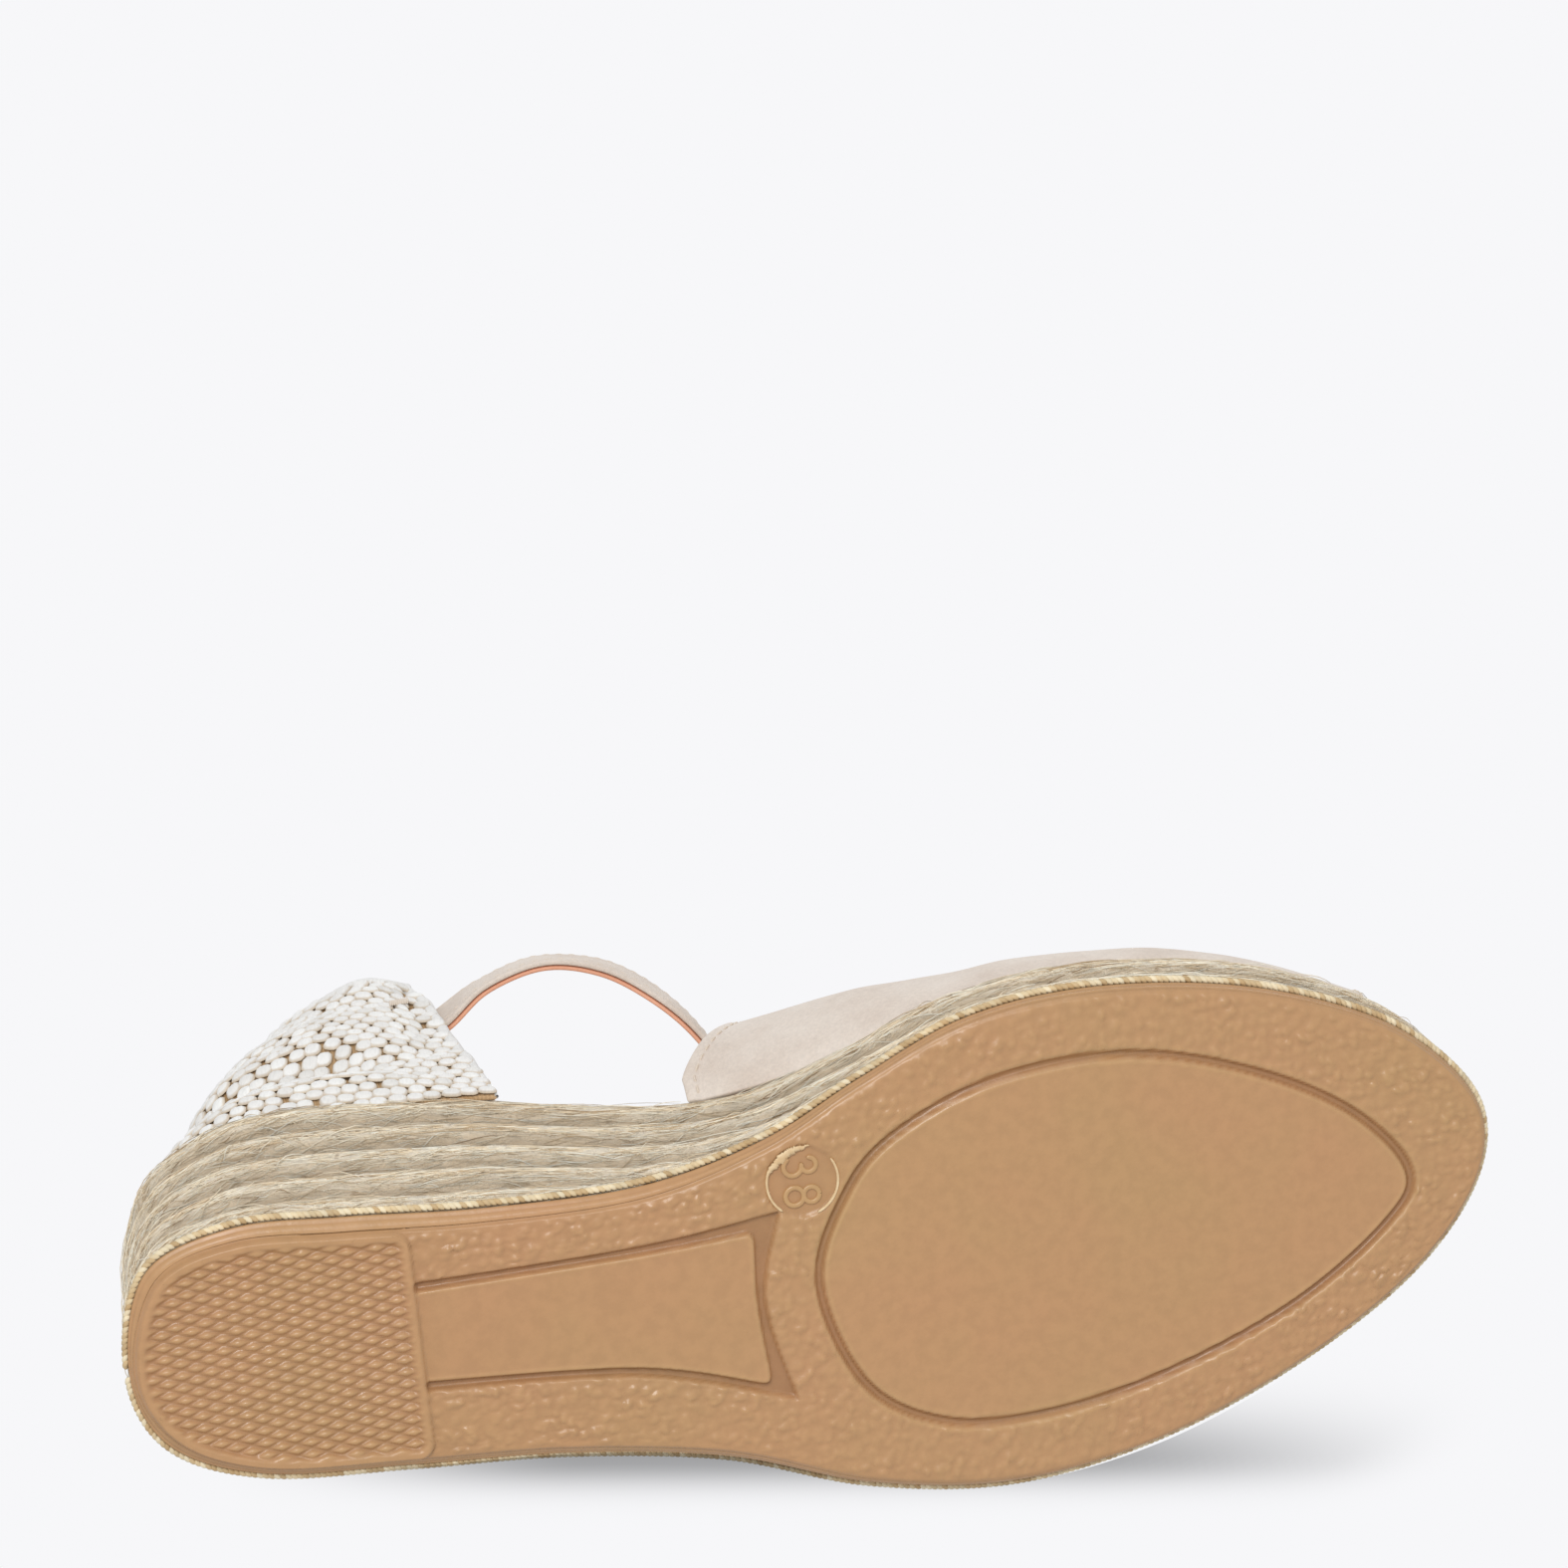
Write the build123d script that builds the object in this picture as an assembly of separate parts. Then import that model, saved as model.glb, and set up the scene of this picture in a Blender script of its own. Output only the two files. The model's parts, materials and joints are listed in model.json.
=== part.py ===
from build123d import *
import os

# Left espadrille wedge sandal, EU size 38, standing on its sole. All sizes are in millimetres.
# The model is drawn with X = 0 at the back of the heel tread, +X towards the toe, +Y towards the
# outer (little toe) side and Z = 0 at the ground. save() moves it so that the origin is the middle
# of the finished box, on the ground.
BOX_MIDDLE = (120.4, 3.1)

# Sole heights
RUBBER = 3.4            # thickness of the rubber outsole
WAIST_LIFT = 1.0        # how far the rubber stands off the ground just ahead of the heel block
HEEL_BLOCK_FRONT = 49.0
WAIST_END = 120.0
HEEL_TOP = 55.0         # top of the jute wall at the heel
TOE_TOP = 21.0          # top of the jute wall under the toes
SLOPE_START = 58.0
SLOPE_MIDDLE = (105.0, 38.5)
SLOPE_END = 155.0
ROW_HEIGHT = 10.3        # height of one turn of jute braid
ROW_COUNT = 5
BRAID_DEPTH = 6.5       # how far the braid goes in from the wall's outer face
EDGE_CORD = 0.8         # how far the edge cord stands out of the wall; it is twice as high

# Layers on top of the core, counted down from the top of the jute wall
BOARD = 1.8
FOAM = 2.6
SOCK = 1.2
SOCK_PROUD = 1.1        # the sock lining stands this far above the jute

# Upper
SUEDE = 1.3
LINING = 0.9
WOVEN = 1.8             # woven cloth of the heel counter
LAYER_GAP = 0.05        # room between two layers that lie on each other
STACK_GAP = 0.1         # room between two pieces that stand on each other
THREAD_PROUD = 0.3
THREAD_WIDTH = 0.7
STITCH_MARGIN = 2.6     # from an edge to its seam

# Ankle strap
STRAP_WIDTH = 12.0
STRAP_LEATHER = 1.2
PIVOT_X = 60.0
STRAP_HEIGHT = 101.0    # middle of the strap where it is tacked to the counter
STRAP_FRONT_HEIGHT = 94.0
TACK_RADIUS = 1.5
RUNNING_GAP = 0.08      # radial room of a moving part round its pin

# Buckle, on the outer side
BAR_X = 84.0
BAR_Y = 29.2
WIRE = 0.9              # radius of the buckle wire
PRONG_WIRE = 0.8
FRAME_REACH = 14.0      # from the hinge bar to the outer bar
FRAME_RISE = 6.4        # the outer bar stands this much further out
FRAME_HALF = 8.2        # half of the frame's height
SLEEVE = 1.9            # outer radius of the leather fold round the hinge bar
KEEPER_X = 76.5
KEEPER_WIDTH = 4.0
KEEPER_WALL = 1.2

BEYOND = 60.0           # reach of cutting tools past the sandal

# Outlines seen from above, anticlockwise from the back of the heel along the inner (big toe) side.
TREAD = [
    (-0.5, 1.0), (5.0, -14.8), (19.0, -19.8), (38.0, -18.6), (62.0, -16.6), (90.0, -16.6),
    (112.0, -22.3), (130.0, -31.2), (150.0, -39.3), (173.0, -41.2), (200.0, -37.2), (223.0, -28.0),
    (236.5, -16.0), (240.5, -5.0), (235.5, 7.5), (222.0, 20.5), (200.0, 33.0), (175.0, 41.8),
    (150.0, 44.6), (125.0, 40.6), (100.0, 31.4), (72.0, 26.2), (45.0, 24.0), (20.0, 21.4), (5.0, 14.0),
]
RIM = [
    (-1.2, 1.0), (3.6, -16.2), (19.0, -21.9), (38.0, -21.0), (62.0, -18.8), (90.0, -18.4),
    (112.0, -23.9), (130.0, -32.4), (150.0, -40.6), (173.0, -42.8), (200.0, -38.8), (224.0, -29.4),
    (238.0, -17.0), (242.0, -5.0), (237.0, 8.3), (223.0, 21.8), (200.5, 34.3), (175.5, 43.0),
    (150.0, 45.8), (124.5, 41.8), (99.5, 32.7), (71.5, 27.5), (45.0, 25.3), (19.5, 22.7), (3.8, 15.0),
]
SEAT = [
    (1.2, 1.0), (6.8, -17.5), (21.0, -26.4), (38.0, -27.8), (60.0, -25.8), (90.0, -22.9),
    (112.0, -24.0), (130.0, -31.0), (150.0, -40.6), (175.0, -44.4), (202.0, -41.5), (226.0, -32.0),
    (241.5, -19.0), (247.0, -4.0), (241.5, 10.5), (226.0, 24.8), (202.0, 37.8), (176.0, 45.6),
    (150.0, 48.0), (124.0, 44.2), (99.0, 36.6), (71.0, 32.0), (44.0, 30.0), (21.5, 27.4), (7.2, 18.5),
]
FOREFOOT_PAD = [
    (118.9, 3.2), (125.1, -12.2), (134.9, -21.5), (153.4, -28.6), (176.7, -29.6), (198.0, -23.6),
    (216.0, -13.5), (226.0, -1.0), (221.5, 8.0), (203.0, 20.6), (178.0, 29.8), (156.4, 33.3),
    (138.5, 31.8), (125.1, 22.6),
]
GROOVE_WIDTH = 1.6
GROOVE_DEPTH = 1.3
SIZE_DISC = (117.7, -15.7)
SIZE_DISC_RADIUS = 6.3
SIZE_DISC_DEPTH = 0.4

# Sections of the vamp across the foot: x, inner edge, outer edge, foot of the section, top, and how far
# the sides swell out above their foot.
VAMP_SECTIONS = [
    (88.0, -20.6, 31.4, 40.0, 104.0, 7.0),
    (110.0, -22.6, 36.6, 30.0, 100.0, 9.0),
    (132.0, -30.4, 43.4, 20.0, 88.0, 6.0),
    (158.0, -38.2, 45.0, 18.0, 71.0, 1.4),
    (185.0, -39.6, 41.0, 18.0, 58.0, 0.6),
    (210.0, -34.0, 31.0, 18.0, 50.0, 0.4),
    (236.0, -22.0, 14.0, 18.0, 44.0, 0.4),
]
VAMP_BACK = [(101.5, 30.0), (105.5, 55.0), (112.0, 73.0), (122.0, 86.0), (136.0, 97.0), (155.0, 112.0)]
VAMP_FRONT = [(228.0, -62.0), (227.0, -28.0), (231.0, -4.0), (222.0, 18.0), (204.0, 62.0)]

# Sections of the heel counter: height, back, inner side, outer side.
COUNTER_SECTIONS = [
    (48.0, 4.4, -25.6, 27.0),
    (72.0, 9.4, -27.6, 27.4),
    (96.0, 18.0, -30.6, 28.0),
    (126.0, 31.0, -33.8, 28.6),
]
# The counter's free edge seen from the side: up its front, over the top and down to the back.
COUNTER_EDGE = [
    (71.5, 50.0), (69.0, 68.0), (66.5, 86.0), (64.8, 101.0), (61.0, 112.5), (53.0, 118.0), (40.0, 114.0),
    (22.0, 109.0), (-20.0, 104.0),
]

# Path of the strap seen from above, from its tacked end on the inner side round to its tail.
LONG_STRAP = [
    (50.0, -26.0), (60.0, -26.1), (66.8, -26.5), (76.0, -32.2), (87.0, -35.2), (98.0, -33.0),
    (107.2, -27.4), (114.7, -19.4), (119.9, -9.0), (120.9, 2.0), (117.7, 13.5), (110.5, 23.8),
    (102.0, 30.6), (94.0, 32.4), (82.0, 32.4), (70.5, 32.4),
]
SHORT_STRAP = [(50.0, 24.3), (60.0, 24.0), (66.5, 24.2), (72.5, 28.8), (77.5, 29.1), (83.0, 29.1)]


def moved_outline(points, outwards, closed=True):
    """Each point moved along its own normal; a path has its outer side on its right."""
    moved = []
    last = len(points) - 1
    for index, (x, y) in enumerate(points):
        before = points[index - 1] if closed or index > 0 else points[0]
        after = points[(index + 1) % len(points)] if closed or index < last else points[last]
        along = (Vector(*after) - Vector(*before)).normalized()
        moved.append((x + along.Y * outwards, y - along.X * outwards))
    return moved


def plan_face(points, height=0.0):
    """A closed smooth outline at one height."""
    return make_face(Spline(*[(x, y, height) for x, y in points], periodic=True))


def block_between(low_points, low, high_points, high):
    """A solid whose straight walls join two outlines."""
    return loft([plan_face(low_points, low), plan_face(high_points, high)], ruled=True)


def side_solid(edges):
    """A closed outline in the XZ plane, cut right through the sandal."""
    return extrude(make_face(edges), BEYOND, dir=(0, 1, 0), both=True)


def under_top(drop):
    """Everything below the sole's upper surface, lowered by drop."""
    start = (SLOPE_START, 0, HEEL_TOP - drop)
    middle = (SLOPE_MIDDLE[0], 0, SLOPE_MIDDLE[1] - drop)
    end = (SLOPE_END, 0, TOE_TOP - drop)
    heel = (-BEYOND, 0, HEEL_TOP - drop)
    toe = (5 * BEYOND, 0, TOE_TOP - drop)
    slope = Spline(start, middle, end, tangents=[(1, 0, 0), (1, 0, 0)])
    frame = Polyline(end, toe, (5 * BEYOND, 0, -BEYOND), (-BEYOND, 0, -BEYOND), heel, start)
    return side_solid([slope, frame])


def sole_layer(outline_block, top_drop, bottom_drop):
    """The part of a block between two depths below the sole's upper surface."""
    return outline_block & (under_top(top_drop + STACK_GAP) - under_top(bottom_drop))


def wall_block(outwards):
    """The whole wedge inside the jute wall's outer face, grown outwards or inwards."""
    low = RUBBER + STACK_GAP
    high = HEEL_TOP + SOCK_PROUD + 1
    return block_between(moved_outline(RIM, outwards), low, moved_outline(SEAT, outwards), high)


def groove(outer_face, inner_face):
    """A groove in the underside between two outlines."""
    return extrude(outer_face - inner_face, GROOVE_DEPTH + WAIST_LIFT, dir=(0, 0, 1))


def waist_outline(inset):
    """The tapered pad under the arch, with hollow sides and a hollow front."""
    back = HEEL_BLOCK_FRONT + 1 + inset
    inner_back = (back, -7.8 + inset)
    inner_front = (113.3 - 3 * inset, -10.9 + 2 * inset)
    outer_front = (113.1 - 2.6 * inset, 23.7 - 2 * inset)
    outer_back = (back, 11.6 - inset)
    return make_face([
        ThreePointArc(inner_back, (87.7, -8.3 + inset), inner_front),
        ThreePointArc(inner_front, (109.3 - inset, 5.0), outer_front),
        ThreePointArc(outer_front, (85.2, 15.1 - inset), outer_back),
        Line(outer_back, inner_back),
    ])


def outsole():
    """Moulded rubber sole: heel block, raised waist, two grooved pads and a recessed size disc."""
    sole = block_between(TREAD, 0, RIM, RUBBER)
    sole -= side_solid(Polyline(
        (HEEL_BLOCK_FRONT, 0, -1), (HEEL_BLOCK_FRONT, 0, WAIST_LIFT), (WAIST_END, 0, 0), (WAIST_END, 0, -1), close=True
    ))
    half = GROOVE_WIDTH / 2
    sole -= groove(plan_face(moved_outline(FOREFOOT_PAD, half)), plan_face(moved_outline(FOREFOOT_PAD, -half)))
    sole -= groove(waist_outline(0), waist_outline(GROOVE_WIDTH))
    sole -= Pos(*SIZE_DISC, 0) * Cylinder(SIZE_DISC_RADIUS, 2 * SIZE_DISC_DEPTH)
    return sole


def sole_edge_stitching():
    """The edge cord that runs round the foot of the jute wall, against the rubber."""
    cord = wall_block(LAYER_GAP + EDGE_CORD) - wall_block(LAYER_GAP)
    return cord & Box(1000, 1000, 2 * (RUBBER + STACK_GAP + 2 * EDGE_CORD))


def jute_rows():
    """Turns of jute braid round the core, each one row below the last; the lower ones end at the arch."""
    wall = wall_block(0) - wall_block(-BRAID_DEPTH)
    return [sole_layer(wall, row * ROW_HEIGHT, (row + 1) * ROW_HEIGHT) for row in range(ROW_COUNT)]


def vamp_block(outwards):
    """The space inside the vamp's outer face, grown outwards or inwards; a smaller one is longer and deeper."""
    faces = []
    overrun = {VAMP_SECTIONS[0][0]: outwards, VAMP_SECTIONS[-1][0]: -outwards}
    for station, inner, outer, foot, top, swell in VAMP_SECTIONS:
        x = station + overrun.get(station, 0)
        inner -= outwards
        outer += outwards
        high = top + outwards - foot
        middle = (inner + outer) / 2
        half = (outer - inner) / 2
        ridge = middle - 0.1 * half
        floor = foot - 2 + 2 * outwards
        arch = Spline(
            (x, inner, foot),
            (x, inner - swell, foot + 0.34 * high),
            (x, ridge - 0.60 * half, foot + 0.80 * high),
            (x, ridge, foot + high),
            (x, ridge + 0.62 * half, foot + 0.76 * high),
            (x, outer + swell, foot + 0.32 * high),
            (x, outer, foot),
        )
        base = Polyline((x, outer, foot), (x, outer, floor), (x, inner, floor), (x, inner, foot))
        faces.append(make_face([arch, base]))
    return loft(faces)


def vamp_cover(margin):
    """The space that the vamp covers, from margin ahead of its back edge to margin behind its front edge."""
    back = [(x + margin, 0, z) for x, z in VAMP_BACK]
    front_x = 5 * BEYOND
    sides = Polyline(back[-1], (front_x, 0, back[-1][2]), (front_x, 0, 0), (back[0][0], 0, 0), back[0])
    ahead = side_solid([Spline(*back), sides])
    front = [(x - margin, y, 0) for x, y in VAMP_FRONT]
    behind_edges = [Spline(*front), Polyline(front[-1], (0, front[-1][1], 0), (0, front[0][1], 0), front[0])]
    return ahead & extrude(make_face(behind_edges), 3 * BEYOND, dir=(0, 0, 1))


def vamp_layer(outside, inside):
    """A shell of the vamp between two depths below its outer face, standing on the jute wall."""
    shell = vamp_block(-outside) - vamp_block(-inside)
    return (shell & vamp_cover(0)) - under_top(-STACK_GAP)


def vamp_seams():
    """The seams that run along the vamp's back edge and its toe opening."""
    raised = (vamp_block(LAYER_GAP + THREAD_PROUD) - vamp_block(LAYER_GAP)) - under_top(-2)
    ring = vamp_cover(STITCH_MARGIN) - vamp_cover(STITCH_MARGIN + THREAD_WIDTH)
    seam = raised & ring
    parts = sorted(seam.solids(), key=lambda solid: solid.center().X)
    return parts[0], parts[-1]


def counter_block(outwards):
    """The space inside the heel counter's outer face, grown outwards or inwards."""
    faces = []
    front = 80.0
    for height, back, inner, outer in COUNTER_SECTIONS:
        back -= outwards
        inner -= outwards
        outer += outwards
        radius = (outer - inner) / 2
        middle = (inner + outer) / 2
        side_end = back + radius
        faces.append(make_face([
            Line((front, inner, height), (side_end, inner, height)),
            ThreePointArc((side_end, inner, height), (back, middle, height), (side_end, outer, height)),
            Line((side_end, outer, height), (front, outer, height)),
            Line((front, outer, height), (front, inner, height)),
        ]))
    return loft(faces)


def counter_layer(outside, inside):
    """A shell of the heel counter between two depths below its outer face, standing on the jute wall."""
    edge = [(x, 0, z) for x, z in COUNTER_EDGE]
    low = (edge[-1][0], 0, edge[0][2])
    kept = side_solid([Spline(*edge), Polyline(edge[-1], low, edge[0])])
    shell = counter_block(-outside) - counter_block(-inside)
    sock_room = wall_block(LAYER_GAP - BRAID_DEPTH) & under_top(-SOCK_PROUD - STACK_GAP)
    return (shell & kept) - under_top(-STACK_GAP) - sock_room


def strap_band(half_width):
    """The strap's shape seen from the side: level at the ankle, lower in front, round at the tack."""
    level_end = 98.0
    drop_end = 124.0
    far_end = 140.0

    def edge(offset):
        rear = (PIVOT_X, 0, STRAP_HEIGHT + offset)
        knee = (level_end, 0, STRAP_HEIGHT + offset)
        front = (drop_end, 0, STRAP_FRONT_HEIGHT + offset)
        end = (far_end, 0, STRAP_FRONT_HEIGHT + offset)
        slope = Spline(knee, front, tangents=[(1, 0, 0), (1, 0, 0)])
        return [Line(rear, knee), slope, Line(front, end)]

    top = edge(half_width)
    bottom = edge(-half_width)
    ends = [Line(top[0] @ 0, bottom[0] @ 0), Line(top[2] @ 1, bottom[2] @ 1)]
    band = side_solid(top + bottom + ends)
    end_round = Pos(PIVOT_X, 0, STRAP_HEIGHT) * Rot(90, 0, 0) * Cylinder(half_width, 2 * BEYOND)
    return band + end_round


def strap_layer(path, inside, outside):
    """A layer of strap along a path seen from above, between two distances outside the path."""
    near = [(x, y, 0) for x, y in moved_outline(path, inside, closed=False)]
    far = [(x, y, 0) for x, y in moved_outline(path, outside, closed=False)]
    face = make_face([Spline(*near), Spline(*far), Line(near[0], far[0]), Line(near[-1], far[-1])])
    return extrude(face, 3 * BEYOND, dir=(0, 0, 1))


def tack_pin(radius):
    """Pins along the strap's swing axis, one at each side, from the strap's inner face into the counter."""
    inner_side = Pos(PIVOT_X, -27.9, STRAP_HEIGHT) * Rot(90, 0, 0) * Cylinder(radius, 5.6)
    outer_side = Pos(PIVOT_X, 25.4, STRAP_HEIGHT) * Rot(90, 0, 0) * Cylinder(radius, 5.2)
    return [inner_side, outer_side]


def prong_slot():
    """The punched hole that the prong comes through, long enough for the prong to rock in."""
    length = 9.4
    width = 2.6
    return Pos(BAR_X + 5.0, 32.0, STRAP_HEIGHT) * Box(length, 6, width)


def spare_holes():
    """Round adjusting holes ahead of the buckle, where the strap is still straight."""
    hole = Rot(90, 0, 0) * Cylinder(1.2, 8)
    return Pos(KEEPER_X + 3.6, 32.4, STRAP_HEIGHT) * hole


def long_strap():
    """Suede face and leather lining of the strap that runs from the inner tack to the tail."""
    band = strap_band(STRAP_WIDTH / 2)
    tools = [prong_slot(), spare_holes()] + tack_pin(TACK_RADIUS + RUNNING_GAP)
    face = strap_layer(LONG_STRAP, 0, STRAP_LEATHER) & band
    lining = strap_layer(LONG_STRAP, -LAYER_GAP - LINING, -LAYER_GAP) & band
    return face - tools, lining - tools


def strap_seam():
    """Two rows of thread along the strap's edges."""
    edge = STRAP_WIDTH / 2 - 1.4
    rows = strap_band(edge) - strap_band(edge - THREAD_WIDTH)
    face = STRAP_LEATHER + LAYER_GAP
    thread = strap_layer(LONG_STRAP, face, face + THREAD_PROUD) & rows
    front_of_counter = Pos(70 + BEYOND, 0, STRAP_HEIGHT) * Box(2 * BEYOND, 4 * BEYOND, BEYOND)
    clear_of_buckle = Pos(BAR_X + 2, 34, STRAP_HEIGHT) * Box(34, 5, BEYOND)
    return (thread & front_of_counter) - clear_of_buckle


def short_strap():
    """Suede face and lining of the buckle strap; the face is folded round the buckle's hinge bar."""
    band = strap_band(STRAP_WIDTH / 2)
    prong_room = Pos(BAR_X, BAR_Y, STRAP_HEIGHT) * Box(5, 6, 3.4)
    bar_room = Pos(BAR_X, BAR_Y, STRAP_HEIGHT) * Cylinder(WIRE + RUNNING_GAP, 3 * STRAP_WIDTH)
    fold = Pos(BAR_X, BAR_Y, STRAP_HEIGHT) * Cylinder(SLEEVE, STRAP_WIDTH)
    half = STRAP_LEATHER / 2
    face = (strap_layer(SHORT_STRAP[::-1], -half, half) & band) + fold
    lining = strap_layer(SHORT_STRAP[::-1], -half - LAYER_GAP - LINING, -half - LAYER_GAP) & band
    pins = tack_pin(TACK_RADIUS + RUNNING_GAP)
    fold_room = Pos(BAR_X, BAR_Y, STRAP_HEIGHT) * Cylinder(SLEEVE + LAYER_GAP, 2 * STRAP_WIDTH)
    return face - pins - prong_room - bar_room, lining - pins - fold_room


def rod(start, end, radius):
    """A round rod between two points."""
    path = Line(start, end)
    return sweep(Plane(origin=path @ 0, z_dir=path % 0) * Circle(radius), path)


def buckle_frame():
    """A closed wire rectangle: hinge bar, two arms and the outer bar that the prong rests on."""
    corners = [
        (BAR_X, BAR_Y, STRAP_HEIGHT - FRAME_HALF),
        (BAR_X, BAR_Y, STRAP_HEIGHT + FRAME_HALF),
        (BAR_X + FRAME_REACH, BAR_Y + FRAME_RISE, STRAP_HEIGHT + FRAME_HALF),
        (BAR_X + FRAME_REACH, BAR_Y + FRAME_RISE, STRAP_HEIGHT - FRAME_HALF),
    ]
    frame = Pos(*corners[0]) * Sphere(WIRE)
    for start, end in zip(corners, corners[1:] + corners[:1]):
        frame += rod(start, end, WIRE)
        frame += Pos(*end) * Sphere(WIRE)
    return frame


def buckle_prong():
    """The pin of the buckle: an eye round the hinge bar and a rod that rests on the outer bar."""
    tip = (BAR_X + FRAME_REACH + 1.5, BAR_Y + FRAME_RISE + WIRE + PRONG_WIRE + 1.3, STRAP_HEIGHT)
    eye = Pos(BAR_X, BAR_Y, STRAP_HEIGHT) * Cylinder(WIRE + 0.9, 2.4)
    eye += rod((BAR_X, BAR_Y, STRAP_HEIGHT), tip, PRONG_WIRE)
    eye += Pos(*tip) * Sphere(PRONG_WIRE)
    return eye - Pos(BAR_X, BAR_Y, STRAP_HEIGHT) * Cylinder(WIRE + RUNNING_GAP, 6)


def strap_keeper():
    """The loop that holds the strap's tail against the buckle strap."""
    low = 27.2
    high = 34.1
    depth = high - low
    middle = (low + high) / 2
    outside = Box(KEEPER_WIDTH, depth + 2 * KEEPER_WALL, STRAP_WIDTH + 1.0 + 2 * KEEPER_WALL)
    inside = Box(2 * KEEPER_WIDTH, depth, STRAP_WIDTH + 1.0)
    return Pos(KEEPER_X, middle, STRAP_HEIGHT) * (outside - inside)


def save(name, shape):
    """Writes one piece, moved so that the origin is the middle of the box on the ground."""
    solids = shape if isinstance(shape, list) else [shape]
    placed = Compound(children=[Pos(-BOX_MIDDLE[0], -BOX_MIDDLE[1], 0) * solid for solid in solids])
    export_step(placed, f"parts/{name}.step")
    return placed


def build():
    """Every piece of the sandal by name."""
    pieces = {"outsole": outsole(), "sole_edge_cord": sole_edge_stitching()}
    stack = SOCK + FOAM + BOARD - SOCK_PROUD
    inside = wall_block(-BRAID_DEPTH - LAYER_GAP)
    pieces["wedge_core"] = sole_layer(inside, stack, 2 * HEEL_TOP)
    for number, row in enumerate(jute_rows(), start=1):
        pieces[f"jute_braid_row_{number}"] = row
    pieces["insole_board"] = sole_layer(inside, stack - BOARD, stack)
    pieces["insole_foam"] = sole_layer(inside, -SOCK_PROUD + SOCK, stack - BOARD)
    pieces["sock_lining"] = sole_layer(inside, -SOCK_PROUD, -SOCK_PROUD + SOCK)
    pieces["vamp_outer"] = vamp_layer(0, SUEDE)
    pieces["vamp_lining"] = vamp_layer(SUEDE + LAYER_GAP, SUEDE + LAYER_GAP + LINING)
    pieces["vamp_back_seam"], pieces["vamp_front_seam"] = vamp_seams()
    pins = tack_pin(TACK_RADIUS)
    pieces["counter_outer"] = counter_layer(0, WOVEN) - pins
    pieces["counter_lining"] = counter_layer(WOVEN + LAYER_GAP, WOVEN + LAYER_GAP + LINING) - pins
    pieces["strap_tacks"] = pins
    pieces["strap_outer"], pieces["strap_lining"] = long_strap()
    pieces["strap_seam"] = strap_seam()
    pieces["buckle_strap_outer"], pieces["buckle_strap_lining"] = short_strap()
    pieces["buckle_frame"] = buckle_frame()
    pieces["buckle_prong"] = buckle_prong()
    pieces["strap_keeper"] = strap_keeper()
    return pieces


os.makedirs("parts", exist_ok=True)
whole = Compound(children=[save(name, shape) for name, shape in build().items()])
box = whole.bounding_box()
print("box", box.min, box.max)
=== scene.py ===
import json
import math
from functools import cached_property

import bpy
import numpy as np
from mathutils import Matrix, Vector
from mathutils.bvhtree import BVHTree


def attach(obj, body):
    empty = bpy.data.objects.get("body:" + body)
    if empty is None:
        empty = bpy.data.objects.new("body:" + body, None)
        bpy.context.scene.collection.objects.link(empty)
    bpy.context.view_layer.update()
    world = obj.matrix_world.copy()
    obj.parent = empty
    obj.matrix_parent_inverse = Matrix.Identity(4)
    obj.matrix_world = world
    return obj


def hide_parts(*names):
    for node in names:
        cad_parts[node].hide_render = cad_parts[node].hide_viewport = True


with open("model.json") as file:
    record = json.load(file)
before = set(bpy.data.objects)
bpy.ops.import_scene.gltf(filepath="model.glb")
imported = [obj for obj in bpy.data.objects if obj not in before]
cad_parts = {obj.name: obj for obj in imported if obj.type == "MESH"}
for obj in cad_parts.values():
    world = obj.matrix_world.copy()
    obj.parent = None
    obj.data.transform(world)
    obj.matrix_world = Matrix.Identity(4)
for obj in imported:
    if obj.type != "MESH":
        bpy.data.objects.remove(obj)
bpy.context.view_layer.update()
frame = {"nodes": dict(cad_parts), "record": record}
NODES = frame["nodes"]

# Shapes are drawn in millimetres with X = 0 at the back of the heel tread, as in the CAD part, and
# add_piece() moves them to the row frame. The mount under the forefoot is at (165, 1) in that drawing.
MOUNT = frame["record"]["mounts"][0]["pos_m"]
ORIGIN = np.array([MOUNT[0] * 1000 - 165.0, MOUNT[1] * 1000 - 1.0, 0.0])

# Heights of the sole
RUBBER = 3.4
WAIST_LIFT = 1.0
HEEL_BLOCK_FRONT = 49.0
WAIST_END = 120.0
HEEL_TOP = 55.0
TOE_TOP = 21.0
SLOPE_START = 58.0
SLOPE_MIDDLE = (105.0, 38.5)
SLOPE_END = 155.0
ROW_HEIGHT = 10.3
ROW_COUNT = 5
WALL_LOW = 3.5
WALL_HIGH = 57.1
SOCK_PROUD = 1.1
SOCK_THICK = 1.1
FOAM_THICK = 2.5

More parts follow.
